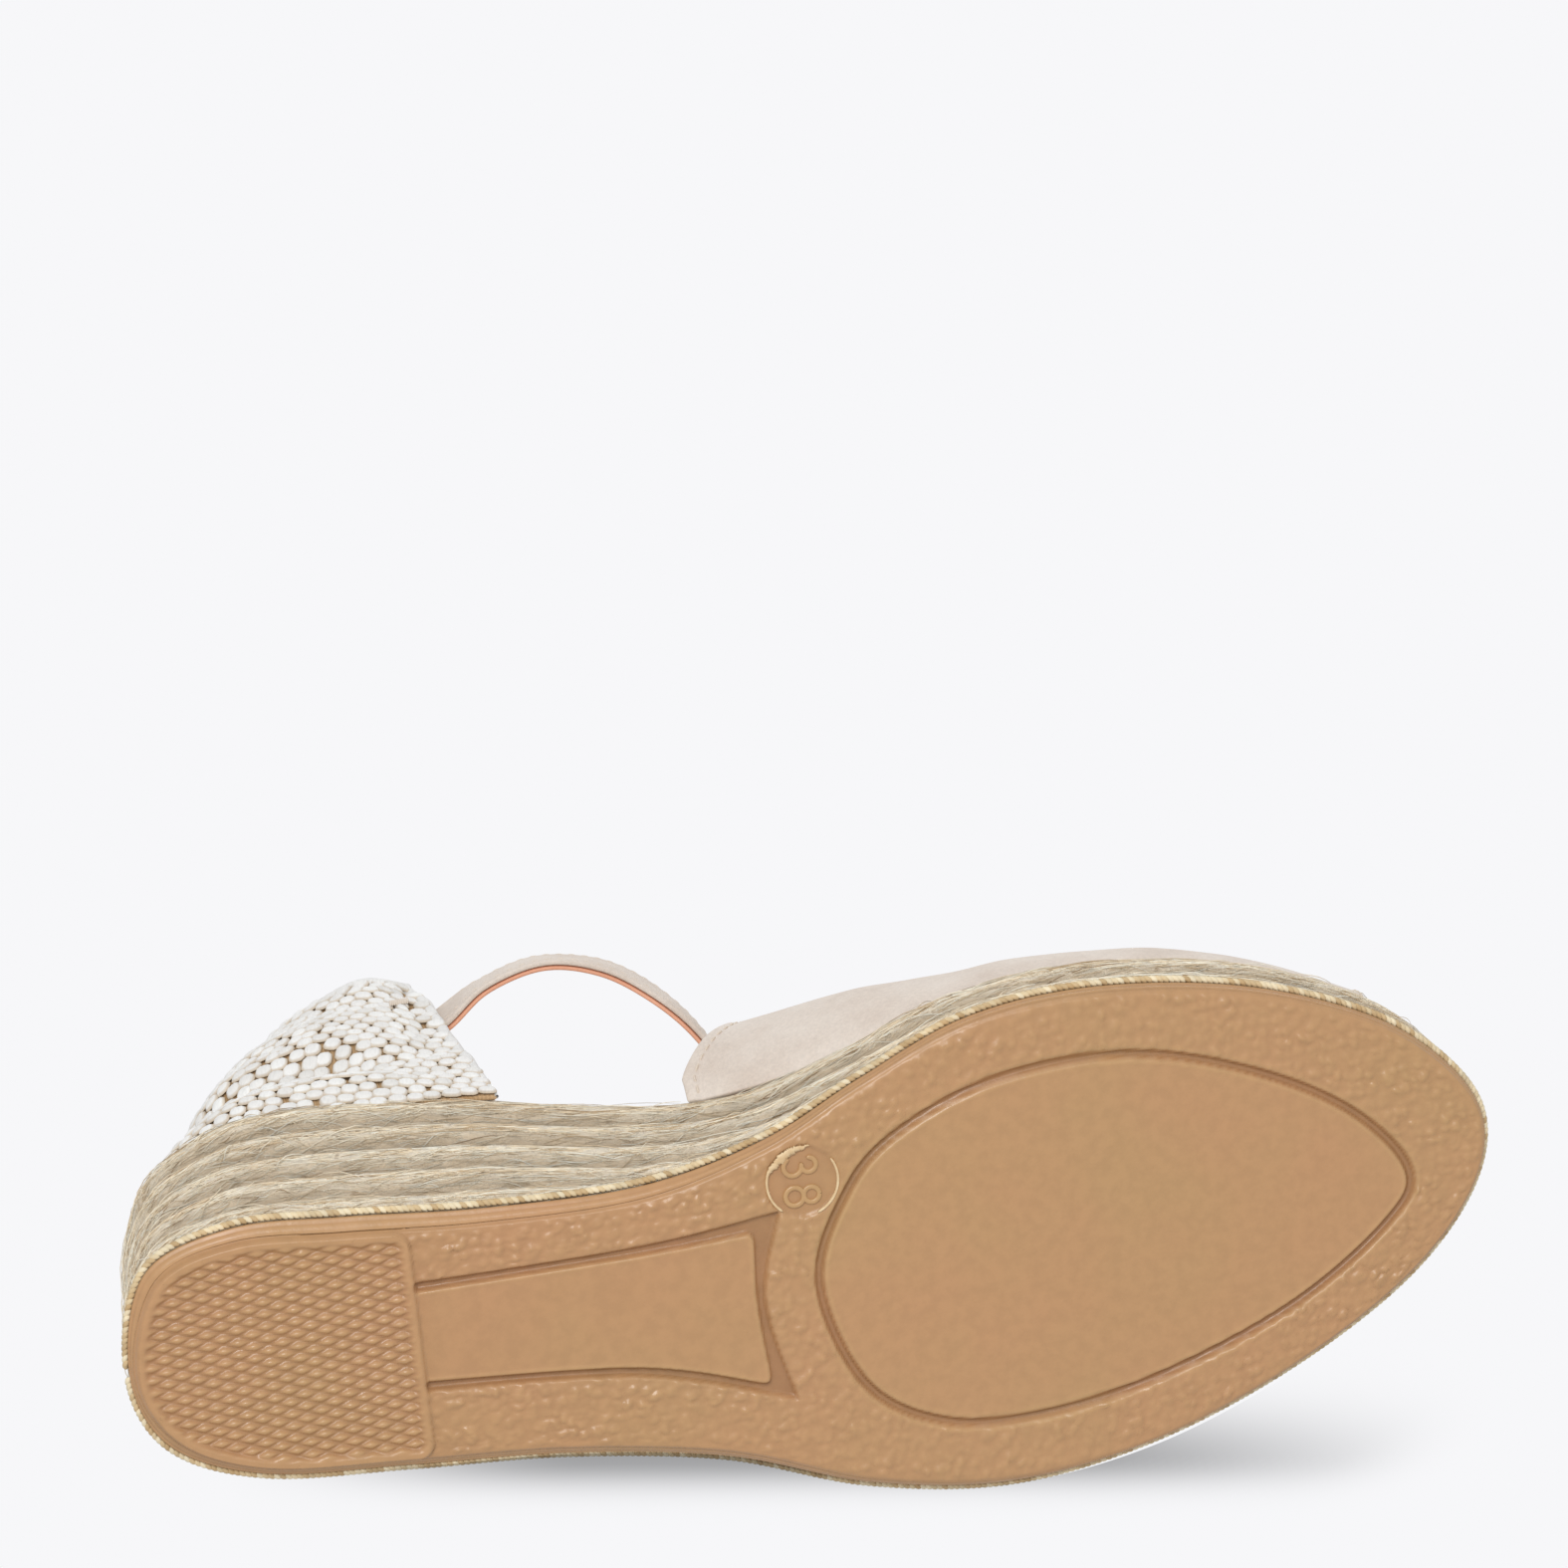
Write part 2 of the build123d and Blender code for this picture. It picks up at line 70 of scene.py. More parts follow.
# Outlines seen from above, anticlockwise from the back of the heel along the inner (big toe) side.
TREAD = [
    (-0.5, 1.0), (5.0, -14.8), (19.0, -19.8), (38.0, -18.6), (62.0, -16.6), (90.0, -16.6),
    (112.0, -22.3), (130.0, -31.2), (150.0, -39.3), (173.0, -41.2), (200.0, -37.2), (223.0, -28.0),
    (236.5, -16.0), (240.5, -5.0), (235.5, 7.5), (222.0, 20.5), (200.0, 33.0), (175.0, 41.8),
    (150.0, 44.6), (125.0, 40.6), (100.0, 31.4), (72.0, 26.2), (45.0, 24.0), (20.0, 21.4), (5.0, 14.0),
]
RIM = [
    (-1.2, 1.0), (3.6, -16.2), (19.0, -21.9), (38.0, -21.0), (62.0, -18.8), (90.0, -18.4),
    (112.0, -23.2), (130.0, -31.6), (150.0, -39.7), (173.0, -41.7), (200.0, -37.7), (223.2, -28.4),
    (236.9, -16.3), (241.0, -5.0), (236.0, 8.0), (222.6, 21.2), (200.3, 33.7), (175.3, 42.5),
    (150.0, 45.8), (124.5, 41.8), (99.5, 32.7), (71.5, 27.5), (45.0, 25.3), (19.5, 22.7), (3.8, 15.0),
]
SEAT = [
    (1.2, 1.0), (6.8, -17.5), (21.0, -26.4), (38.0, -27.8), (60.0, -25.8), (90.0, -22.9),
    (112.0, -23.8), (130.0, -30.4), (150.0, -39.7), (175.0, -43.2), (202.0, -40.2), (225.0, -30.9),
    (239.8, -18.2), (245.2, -4.0), (240.2, 10.2), (226.0, 24.8), (202.0, 37.8), (176.0, 45.6),
    (150.0, 48.0), (124.0, 44.2), (99.0, 36.6), (71.0, 32.0), (44.0, 30.0), (21.5, 27.4), (7.2, 18.5),
]
TURN = float(len(TREAD))
# Where the outline's four sides meet, counted in outline points from the back of the heel.
HEEL_CORNERS = (-1.3, 1.3)
TOE_CORNERS = (11.6, 14.6)
FOREFOOT_PAD = [
    (118.9, 3.2), (125.1, -12.2), (134.9, -21.5), (153.4, -28.6), (176.7, -29.6), (198.0, -23.6),
    (216.0, -13.5), (226.0, -1.0), (221.5, 8.0), (203.0, 20.6), (178.0, 29.8), (156.4, 33.3),
    (138.5, 31.8), (125.1, 22.6),
]
GROOVE_WIDTH = 1.6
GROOVE_DEPTH = 1.3
SIZE_DISC = (117.7, -15.7)
SIZE_DISC_RADIUS = 6.3
DISC_FLOOR = 0.6        # height of the sunk disc's floor above the ground
TREAD_LONG = 5.07       # diagonals of one diamond of the heel tread
TREAD_SHORT = 2.18

VAMP_BACK = [
    (101.5, 30.0), (103.8, 41.0), (109.0, 50.0), (113.5, 57.0), (118.0, 66.0), (124.0, 78.0), (131.0, 88.0),
    (141.0, 97.0), (158.0, 112.0),
]       # its back edge seen from the side

# Heel counter: height, back, inner side and outer side of its sections, and its edge seen from the side
COUNTER_SECTIONS = [
    (48.0, 4.4, -25.6, 27.0), (72.0, 9.4, -27.6, 27.4), (96.0, 18.0, -30.6, 28.0),
    (126.0, 31.0, -33.8, 28.6)
]
COUNTER_EDGE = [
    (71.5, 50.0), (69.0, 68.0), (66.5, 86.0), (64.8, 101.0), (61.0, 112.5), (53.0, 118.0), (40.0, 114.0),
    (22.0, 109.0), (-20.0, 104.0),
]

# Ankle strap, seen from above, from its tacked end on the inner side round to its tail
LONG_STRAP = [
    (50.0, -26.0), (60.0, -26.1), (66.8, -26.5), (76.0, -32.2), (87.0, -35.2), (98.0, -33.0),
    (107.2, -27.4), (114.7, -19.4), (119.9, -9.0), (120.9, 2.0), (117.7, 13.5), (110.5, 23.8),
    (102.0, 30.6), (94.0, 32.4), (82.0, 32.4), (70.5, 32.4),
]
SHORT_STRAP = [(50.0, 24.3), (60.0, 24.0), (66.5, 24.2), (72.5, 28.8), (77.5, 29.1), (83.0, 29.1)]
STRAP_HALF = 6.0
STRAP_LEATHER = 1.2
STRAP_LINING = 0.9
PIVOT_X = 60.0
STRAP_HEIGHT = 101.0
STRAP_FRONT_HEIGHT = 94.0
KEEPER_X = 76.5
KEEPER_Y = 30.65


# ---------------------------------------------------------------- shapes

def smooth(points, places, closed=True):
    """Points on a smooth curve through control points; a place counts control points along it."""
    points = np.asarray(points, float)
    places = np.atleast_1d(np.asarray(places, float))
    count = len(points)
    index = np.floor(places).astype(int)
    if not closed:
        index = np.clip(index, 0, count - 2)
    part = (places - index)[:, None]

    def control(number):
        return points[number % count] if closed else points[np.clip(number, 0, count - 1)]

    a, b, c, d = (control(index + step) for step in (-1, 0, 1, 2))
    return b + 0.5 * part * ((c - a) + part * ((2 * a - 5 * b + 4 * c - d) + part * (3 * (b - c) + d - a)))


def evenly(curve, start, end, count):
    """Places from start to end that are the same distance apart along a curve."""
    fine = np.linspace(start, end, 60 * int(abs(end - start) + 2))
    steps = np.linalg.norm(np.diff(curve(fine), axis=0), axis=1)
    length = np.concatenate([[0], np.cumsum(steps)])
    return np.interp(np.linspace(0, length[-1], count), length, fine)


def run_length(points):
    """Distance along a line of points, from its first one."""
    steps = np.linalg.norm(np.diff(points, axis=0), axis=1)
    return np.concatenate([[0], np.cumsum(steps)])


def unit(vectors):
    return vectors / np.maximum(np.linalg.norm(vectors, axis=-1, keepdims=True), 1e-9)


def outward_of(along):
    """Directions to the right of a line, which is outward on an anticlockwise outline."""
    return np.stack([along[:, 1], -along[:, 0]], 1)


def line_ahead(outline, places):
    """The direction of a closed outline at places round it."""
    return unit(smooth(outline, np.asarray(places) + 0.02) - smooth(outline, places))


def soft_step(low, high, value):
    """0 below low, 1 above high and smooth between."""
    part = np.clip((value - low) / (high - low), 0, 1)
    return part * part * (3 - 2 * part)


def waves(x, y, x_size, y_size, seed, count=14):
    """Soft irregular relief between about -1 and 1, with waves of about these sizes."""
    dice = np.random.default_rng(seed)
    total = 0
    for _ in range(count):
        angle = dice.uniform(0, 2 * math.pi)
        stretch = dice.uniform(0.6, 1.7)
        phase = dice.uniform(0, 2 * math.pi)
        across = math.cos(angle) * x / x_size + math.sin(angle) * y / y_size
        total = total + np.sin(2 * math.pi * stretch * across + phase)
    return total / math.sqrt(2 * count)


def cells(x, y, pitch, seed):
    """Distance to the nearest and the second nearest of scattered points, in pitches."""
    dice = np.random.default_rng(seed)
    table = dice.uniform(0.12, 0.88, (64, 64, 2))
    column = np.floor(x / pitch).astype(int)
    line = np.floor(y / pitch).astype(int)
    near = np.full(x.shape, 9.0)
    second = np.full(x.shape, 9.0)
    for i in (-1, 0, 1):
        for j in (-1, 0, 1):
            spot = table[(column + i) % 64, (line + j) % 64]
            distance = np.hypot(column + i + spot[..., 0] - x / pitch, line + j + spot[..., 1] - y / pitch)
            second = np.minimum(second, np.maximum(near, distance))
            near = np.minimum(near, distance)
    return near, second


def distance_to(x, y, line):
    """Distance from many points to a line through a list of points."""
    flat = np.stack([x.ravel(), y.ravel()], 1)
    nearest = np.full(len(flat), 1e9)
    for start, end in zip(line[:-1], line[1:]):
        side = end - start
        part = np.clip((flat - start) @ side / max(side @ side, 1e-12), 0, 1)
        gap = flat - start - part[:, None] * side
        nearest = np.minimum(nearest, np.hypot(gap[:, 0], gap[:, 1]))
    return nearest.reshape(x.shape)


def inside(x, y, line):
    """True where a point lies inside a closed line."""
    within = np.zeros(x.shape, bool)
    for (x0, y0), (x1, y1) in zip(line[:-1], line[1:]):
        crosses = (y0 > y) != (y1 > y)
        reach = x0 + (y - y0) * (x1 - x0) / ((y1 - y0) if y1 != y0 else 1e-12)
        within ^= crosses & (x < reach)
    return within


def top_height(x):
    """Height of the jute wall's top edge at x: level at the heel, an S-shaped slope, level at the toe."""
    middle_x, middle_z = SLOPE_MIDDLE
    middle_slope = -0.526

    def piece(x0, z0, slope0, x1, z1, slope1):
        span = x1 - x0
        part = np.clip((x - x0) / span, 0, 1)
        rise = (1 + 2 * part) * (1 - part) ** 2 * z0 + part ** 2 * (3 - 2 * part) * z1
        return rise + span * part * (1 - part) * ((1 - part) * slope0 - part * slope1)

    rear = piece(SLOPE_START, HEEL_TOP, 0, middle_x, middle_z, middle_slope)
    front = piece(middle_x, middle_z, middle_slope, SLOPE_END, TOE_TOP, 0)
    return np.where(x < middle_x, rear, front)


def wall(places, height):
    """Points on the jute wall's outer face and their outward directions, at places round the outline."""
    part = ((height - WALL_LOW) / (WALL_HIGH - WALL_LOW))[:, None]
    point = (1 - part) * smooth(RIM, places) + part * smooth(SEAT, places)
    ahead = (1 - part) * smooth(RIM, places + 0.02) + part * smooth(SEAT, places + 0.02)
    along = unit(ahead - point)
    return point, outward_of(along)


# ---------------------------------------------------------------- pieces

def grid_faces(rows, columns, around=False):
    """Four-sided faces between the points of a grid, stored row by row; around joins its last column to
    its first."""
    row = np.arange(rows - 1)[:, None]
    column = np.arange(columns if around else columns - 1)[None, :]
    following = (column + 1) % columns
    corners = [row * columns + column, row * columns + following]
    corners += [(row + 1) * columns + following, (row + 1) * columns + column]
    return np.stack([np.broadcast_to(c, (rows - 1, column.shape[1])).ravel() for c in corners], 1)


def new_object(name, points, faces):
    """An object made of points in millimetres and of faces with any number of sides."""
    mesh = bpy.data.meshes.new(name)
    placed = (np.asarray(points, float).reshape(-1, 3) + ORIGIN) / 1000
    mesh.from_pydata(placed.tolist(), [], faces.tolist() if isinstance(faces, np.ndarray) else faces)
    thing = bpy.data.objects.new(name, mesh)
    bpy.context.scene.collection.objects.link(thing)
    return thing


def add_piece(name, points, faces, material, slot, flow, body="sole_and_upper", replaces=()):
    """A smooth piece of the sandal. flow is what its material reads: along, across and a chance value."""
    piece = new_object(name, points, faces)
    mesh = piece.data
    mesh.polygons.foreach_set("use_smooth", [True] * len(mesh.polygons))
    layer = mesh.attributes.new("flow", "FLOAT_VECTOR", "POINT")
    layer.data.foreach_set("vector", np.asarray(flow, np.float32).ravel())
    mesh.materials.append(material)
    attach(piece, body)
    if replaces:
        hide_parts(*replaces)
    return piece


def use_modifier(piece, kind, **settings):
    """Adds a modifier and applies it."""
    modifier = piece.modifiers.new(kind.lower(), kind)
    for key, value in settings.items():
        setattr(modifier, key, value)
    with bpy.context.temp_override(object=piece, active_object=piece, selected_objects=[piece]):
        bpy.ops.object.modifier_apply(modifier=modifier.name)


def tubes(centres, normals, radius, sides=3):
    """Thin tubes along many lines of points at once: centres and normals are lines x points x 3."""
    along = unit(np.gradient(centres, axis=1))
    side = unit(np.cross(along, normals))
    up = np.cross(side, along)
    lines, count = centres.shape[:2]
    angles = np.arange(sides) * 2 * math.pi / sides
    reach = np.broadcast_to(np.asarray(radius, float), (lines, count))[..., None, None]
    ring = np.cos(angles)[:, None] * side[:, :, None] + np.sin(angles)[:, None] * up[:, :, None]
    points = centres[:, :, None] + reach * ring
    one = grid_faces(count, sides, around=True)
    starts = (np.arange(lines) * count * sides)[:, None, None]
    faces = (one[None] + starts).reshape(-1, 4)
    return points.reshape(-1, 3), faces


def stitches(path, normals, pitch, length, radius, lean=0.0):
    """Short raised threads along a path, each a plump capsule half sunk into the surface."""
    distance = run_length(path)
    starts = np.arange(pitch / 2, distance[-1] - length, pitch)
    steps = np.linspace(0, 1, 7)
    where = starts[:, None] + steps[None] * length
    side = unit(np.cross(np.gradient(path, axis=0), normals))

    def at(values):
        return np.stack([np.interp(where, distance, values[:, axis]) for axis in range(3)], -1)

    arch = np.sin(steps * math.pi)[None, :, None]
    centres = at(path) + unit(at(normals)) * radius * (0.9 * arch - 0.3)
    centres += unit(at(side)) * lean * (steps - 0.5)[None, :, None]
    thick = radius * np.sqrt(np.clip(1 - (2 * steps - 1) ** 4, 0.02, 1))
    points, faces = tubes(centres, at(normals), thick[None], sides=8)
    flow = np.repeat(
        np.stack([where, np.zeros_like(where), np.sin(where * 7.1)], -1).reshape(-1, 3), 8, axis=0
    )
    return points, faces, flow


def joined(parts):
    """One set of points, faces and flow out of several."""
    points, faces, flows = [], [], []
    start = 0
    for part_points, part_faces, part_flow in parts:
        points.append(part_points)
        faces.append(np.asarray(part_faces) + start)
        flows.append(part_flow)
        start += len(part_points)
    return np.concatenate(points), np.concatenate(faces), np.concatenate(flows)


def add_parts(name, parts, material, slot, **rest):
    """One piece out of several sets of points, faces and flow."""
    points, faces, flow = joined(parts)
    return add_piece(name, points, faces, material, slot, flow, **rest)


# ---------------------------------------------------------------- materials

def paint(red, green, blue):
    """A display colour, 0 to 255, as the linear colour that shaders use."""
    def linear(value):
        value /= 255
        return value / 12.92 if value <= 0.04045 else ((value + 0.055) / 1.055) ** 2.4
    return (linear(red), linear(green), linear(blue), 1.0)


class Look:
    """A material under construction: its shader and short ways to add nodes."""

    def __init__(self, name, **constants):
        self.material = bpy.data.materials.new(name)
        self.material.use_nodes = True
        self.tree = self.material.node_tree
        self.shader = self.tree.nodes["Principled BSDF"]
        for socket, value in constants.items():
            self.shader.inputs[socket.replace("_", " ").title().replace("Ior", "IOR")].default_value = value

    def add(self, kind, inputs=(), **settings):
        node = self.tree.nodes.new(kind)
        for key, value in settings.items():
            setattr(node, key, value)
        for key, value in dict(inputs).items():
            if isinstance(value, bpy.types.NodeSocket):
                self.tree.links.new(value, node.inputs[key])
            else:
                node.inputs[key].default_value = value
        return node

    def place(self, stretch=(1, 1, 1)):
        """The piece's own coordinates in metres, stretched."""
        source = self.add("ShaderNodeTexCoord").outputs["Object"]
        return self.add("ShaderNodeMapping", {"Vector": source, "Scale": stretch}).outputs[0]

    @cached_property
    def here(self):
        """The piece's own coordinates, made once and shared."""
        return self.place()

    def flow(self, stretch=(1, 1, 1)):
        """The coordinates stored on the mesh: along, across and a chance value."""
        source = self.add("ShaderNodeAttribute", attribute_name="flow").outputs["Vector"]
        return self.add("ShaderNodeMapping", {"Vector": source, "Scale": stretch}).outputs[0]

    def part(self, vector, axis):
        return self.add("ShaderNodeSeparateXYZ", {"Vector": vector}).outputs[axis]

    def noise(self, vector, scale, detail=4.0, roughness=0.55):
        inputs = {"Vector": vector, "Scale": scale, "Detail": detail, "Roughness": roughness}
        return self.add("ShaderNodeTexNoise", inputs).outputs[0]

    def cells(self, scale):
        return self.add("ShaderNodeTexVoronoi", {"Vector": self.here, "Scale": scale}).outputs[0]

    def ramp(self, factor, stops):
        """Colours or numbers at positions from 0 to 1."""
        node = self.add("ShaderNodeValToRGB", {"Fac": factor})
        elements = node.color_ramp.elements
        while len(elements) < len(stops):
            elements.new(0.5)
        for element, (position, value) in zip(elements, stops):
            element.position = position
            element.color = paint(*value) if isinstance(value, tuple) else (value, value, value, 1)
        return node.outputs[0]

    def bands(self, scale, distortion, direction="X"):
        """Wavering stripes across one direction."""
        sockets = {"Vector": self.here, "Scale": scale, "Distortion": distortion}
        return self.add("ShaderNodeTexWave", sockets, bands_direction=direction).outputs[0]

    def mottle(self, scale, detail, stops, roughness=0.55):
        """Colours or numbers spread by noise over the piece."""
        return self.ramp(self.noise(self.here, scale, detail, roughness), stops)

    def shade(self, colour, factor, amount):
        """The colour times a factor, as strongly as amount says."""
        return self.mix(amount, colour, factor, "MULTIPLY")

    def mix(self, factor, first, second, blend="MIX"):
        node = self.add("ShaderNodeMix", data_type="RGBA", blend_type=blend)
        for socket, value in ((node.inputs[0], factor), (node.inputs[6], first), (node.inputs[7], second)):
            if isinstance(value, bpy.types.NodeSocket):
                self.tree.links.new(value, socket)
            else:
                socket.default_value = value
        return node.outputs[2]

    def bump(self, height, distance, strength=1.0, under=None):
        inputs = {"Height": height, "Distance": distance, "Strength": strength}
        if under is not None:
            inputs["Normal"] = under
        return self.add("ShaderNodeBump", inputs).outputs[0]

    def finish(self, colour, roughness, normal):
        self.tree.links.new(colour, self.shader.inputs["Base Color"])
        self.tree.links.new(roughness, self.shader.inputs["Roughness"])
        self.tree.links.new(normal, self.shader.inputs["Normal"])
        return self.material


def gum_rubber():
    """Natural gum rubber: amber and mottled, with painted highlights that make its high spots paler and
    painted shade that turns its grooves brown.
    """
    look = Look("gum_rubber", specular_ior_level=0.5)
    # The stored value is painted light and shade from the relief: pale on high spots and lips, brown in
    # grooves and hollows.
    height = look.part(look.flow(), 2)
    base = look.ramp(height, [
        (0.0, (158, 112, 76)), (0.3, (186, 138, 98)), (0.55, (198, 152, 107)),
        (1.0, (208, 166, 114)),
    ])
    cloud = look.noise(look.here, 26, 3)
    pink = look.ramp(cloud, [(0.3, (203, 152, 110)), (0.7, (194, 157, 108))])
    colour = look.mix(0.45, base, pink)
    speck = look.mottle(420, 3, [(0.35, 0.785), (0.62, 0.865)])
    colour = look.shade(colour, speck, 0.8)
    rough = look.mottle(160, 3, [(0.3, 0.26), (0.75, 0.46)])
    fine = look.bump(look.noise(look.here, 2600, 2), 0.00004, 0.5)
    coarse = look.bump(look.noise(look.here, 500, 3), 0.00012, 0.6, fine)
    return look.finish(colour, rough, coarse)


def rubber_film():
    """The thin pale film of rubber left by the mould."""
    look = Look("rubber_film", specular_ior_level=0.5)
    colour = look.mottle(500, 3, [(0.3, (212, 178, 132)), (0.7, (232, 208, 168))])
    rough = look.mottle(300, 3, [(0.3, 0.35), (0.75, 0.5)])
    return look.finish(colour, rough, look.bump(look.noise(look.here, 900, 3), 0.0001, 0.5))


def jute_braid():
    """Jute fibres: straw coloured, with painted highlights on the crests and painted shade, grey-brown, in
    the valleys between rows, where they are tangled.
    """
    look = Look("jute_braid", specular_ior_level=0.15, sheen_weight=0.15, sheen_roughness=0.5)
    flow = look.flow()
    across = look.part(flow, 1)
    # Painted light across each row: brightest on the crest, darker grey-brown towards the valleys at its
    # edges.
    painted_row_shading = look.ramp(across, [
        (0.0, (140, 114, 84)), (0.2, (196, 174, 144)), (0.42, (255, 244, 224)),
        (0.6, (255, 244, 224)), (0.82, (198, 176, 146)), (1.0, (142, 116, 86)),
    ])
    streak = look.noise(look.flow((0.35, 60, 0)), 1.0, 6, 0.7)
    streaks = look.ramp(
        streak, [(0.3, (206, 186, 156)), (0.5, (246, 231, 206)), (0.72, (255, 250, 234))]
    )
    colour = look.mix(0.35, painted_row_shading, streaks)
    tuft = look.mottle(190, 5, [(0.33, 0.90), (0.6, 1.12)], 0.65)
    colour = look.shade(colour, tuft, 0.85)
    brown = look.mottle(420, 2, [(0.66, 0.0), (0.74, 0.5)])
    colour = look.mix(brown, colour, paint(150, 118, 80))
    rough = look.ramp(streak, [(0.3, 0.95), (0.7, 0.7)])
    fibres = look.bump(look.noise(look.flow((0.8, 130, 0)), 1.0, 4, 0.7), 0.0004, 0.9)
    tangle = look.bump(look.noise(look.here, 1500, 4, 0.7), 0.0004, 0.7, fibres)
    return look.finish(colour, rough, tangle)


def jute_fibre():
    """Single loose fibres, from bleached straw to brown, with painted shade where they lie near the valleys
    between rows.
    """
    look = Look("jute_fibre", specular_ior_level=0.3, sheen_weight=0.1)
    chance = look.part(look.flow(), 2)
    colour = look.ramp(chance, [
        (0.0, (160, 126, 88)), (0.05, (208, 182, 144)), (0.3, (240, 221, 190)),
        (0.6, (255, 242, 216)), (1.0, (255, 252, 238)),
    ])
    # Painted shade: fibres near a row's edges, down in the valleys, are darkened.
    painted_valley_shade = look.ramp(
        look.part(look.flow(), 1), [(0.0, 0.46), (0.26, 0.86), (0.5, 1.06), (0.74, 0.86), (1.0, 0.46)]
    )
    colour = look.shade(colour, painted_valley_shade, 1.0)
    shade = look.mottle(700, 2, [(0.3, 0.88), (0.7, 1.05)])
    rough = look.mottle(500, 2, [(0.3, 0.6), (0.7, 0.85)])
    return look.finish(
        look.shade(colour, shade, 1.0), rough, look.bump(look.noise(look.here, 3000, 2), 0.00004)
    )


def edge_cord():
    """Waxed jute twine, yellower than the braid."""
    look = Look("edge_cord", specular_ior_level=0.3)
    chance = look.part(look.flow(), 2)
    colour = look.ramp(
        chance, [(0.0, (196, 166, 122)), (0.5, (222, 200, 160)), (1.0, (240, 226, 194))]
    )
    shade = look.mottle(300, 4, [(0.3, 0.82), (0.65, 1.05)])
    rough = look.mottle(800, 2, [(0.3, 0.5), (0.7, 0.8)])
    strands = look.bump(look.noise(look.place((1, 1, 3)), 2200, 3), 0.0001)
    return look.finish(look.shade(colour, shade, 1.0), rough, strands)


def suede():
    """Napped suede: pale pinkish beige, brushed lighter and darker in patches."""
    look = Look("suede", specular_ior_level=0.12, sheen_weight=0.1, sheen_roughness=0.4)
    nap = look.noise(look.here, 75, 4, 0.6)
    base = look.ramp(
        nap, [(0.3, (216, 202, 190)), (0.5, (224, 212, 201)), (0.72, (230, 220, 210))]
    )
    grain = look.mottle(1500, 3, [(0.3, 0.86), (0.7, 1.06)], 0.7)
    colour = look.shade(base, grain, 0.7)
    rough = look.ramp(nap, [(0.3, 0.98), (0.7, 0.82)])
    fine = look.bump(look.noise(look.here, 3600, 3, 0.7), 0.00012, 0.8)
    creases = look.bump(look.noise(look.here, 260, 4, 0.6), 0.00025, 0.5, fine)
    return look.finish(colour, rough, creases)


def leather(name, dark, light):
    """Smooth lining leather with pores and fine creases."""
    look = Look(name, specular_ior_level=0.35)
    tone = look.noise(look.here, 60, 4)
    colour = look.ramp(tone, [(0.3, dark), (0.7, light)])
    pores = look.cells(1100)
    speck = look.ramp(pores, [(0.05, 0.84), (0.3, 1.0)])
    colour = look.shade(colour, speck, 0.7)
    rough = look.ramp(tone, [(0.3, 0.62), (0.7, 0.45)])
    grain = look.bump(pores, 0.00008, 0.6)
    creases = look.bump(look.noise(look.here, 300, 5, 0.7), 0.0001, 0.5, grain)
    return look.finish(colour, rough, creases)


def cotton_yarn():
    """Bleached cotton yarn, each float made of fine twisted strands."""
    look = Look("cotton_yarn", specular_ior_level=0.1, sheen_weight=0.25, sheen_roughness=0.6)
    chance = look.part(look.flow(), 2)
    base = look.ramp(
        chance, [(0.0, (238, 236, 233)), (0.5, (248, 247, 246)), (1.0, (253, 253, 252))]
    )
    # Painted shade: each float darkens to tan round its rim, where it sinks into the cloth.
    edge = look.ramp(look.part(look.flow(), 1), [(0.0, (214, 196, 170)), (0.28, (250, 250, 249))])
    colour = look.shade(base, edge, 1.0)
    strands = look.noise(look.flow((9, 0.6, 3)), 1.6, 3)
    rough = look.ramp(strands, [(0.3, 0.95), (0.7, 0.8)])
    thread = look.bump(strands, 0.00025, 0.8)
    fuzz = look.bump(look.noise(look.here, 2800, 3, 0.7), 0.0001, 0.7, thread)
    return look.finish(colour, rough, fuzz)


def tan_cloth():
    """The tan ground cloth that shows between the white floats."""
    look = Look("tan_cloth", specular_ior_level=0.1)
    weave = look.bands(420, 1.5)
    tone = look.mottle(240, 3, [(0.3, (186, 148, 106)), (0.7, (212, 180, 140))])
    colour = look.shade(tone, look.ramp(weave, [(0.2, 0.8), (0.7, 1.08)]), 0.5)
    rough = look.ramp(weave, [(0.2, 0.95), (0.8, 0.8)])
    return look.finish(colour, rough, look.bump(weave, 0.0002, 0.8))


def lining_cloth():
    """Plain cotton lining in a fine square weave."""
    look = Look("lining_cloth", specular_ior_level=0.1, sheen_weight=0.1)
    warp = look.bands(520, 0.6, "Z")
    weft = look.bands(520, 0.6, "DIAGONAL")
    weave = look.mix(0.5, warp, weft)
    tone = look.mottle(90, 3, [(0.3, (226, 216, 198)), (0.7, (238, 230, 216))])
    colour = look.shade(tone, look.ramp(weave, [(0.2, 0.86), (0.7, 1.04)]), 0.4)
    rough = look.mottle(400, 2, [(0.3, 0.95), (0.7, 0.82)])
    return look.finish(colour, rough, look.bump(weave, 0.00015, 0.7))


def sewing_thread():
    """Twisted thread."""
    look = Look("sewing_thread", specular_ior_level=0.3, sheen_weight=0.1)
    twist = look.noise(look.flow((3.2, 0, 0)), 2.0, 1)
    tone = look.ramp(twist, [(0.3, (206, 190, 172)), (0.7, (232, 220, 206))])
    rough = look.mottle(900, 2, [(0.3, 0.5), (0.7, 0.75)])
    return look.finish(tone, rough, look.bump(twist, 0.0001, 0.8))


def plated_metal():
    """Pale gold plating with fine scratches and rubbed spots."""
    look = Look("plated_metal", metallic=1.0)
    rub = look.noise(look.here, 380, 4)
    colour = look.ramp(rub, [(0.3, (206, 180, 138)), (0.7, (232, 212, 176))])
    scratch = look.noise(look.place((1, 1, 12)), 700, 3)
    rough = look.ramp(scratch, [(0.35, 0.2), (0.7, 0.38)])
    return look.finish(colour, rough, look.bump(scratch, 0.00003, 0.4))


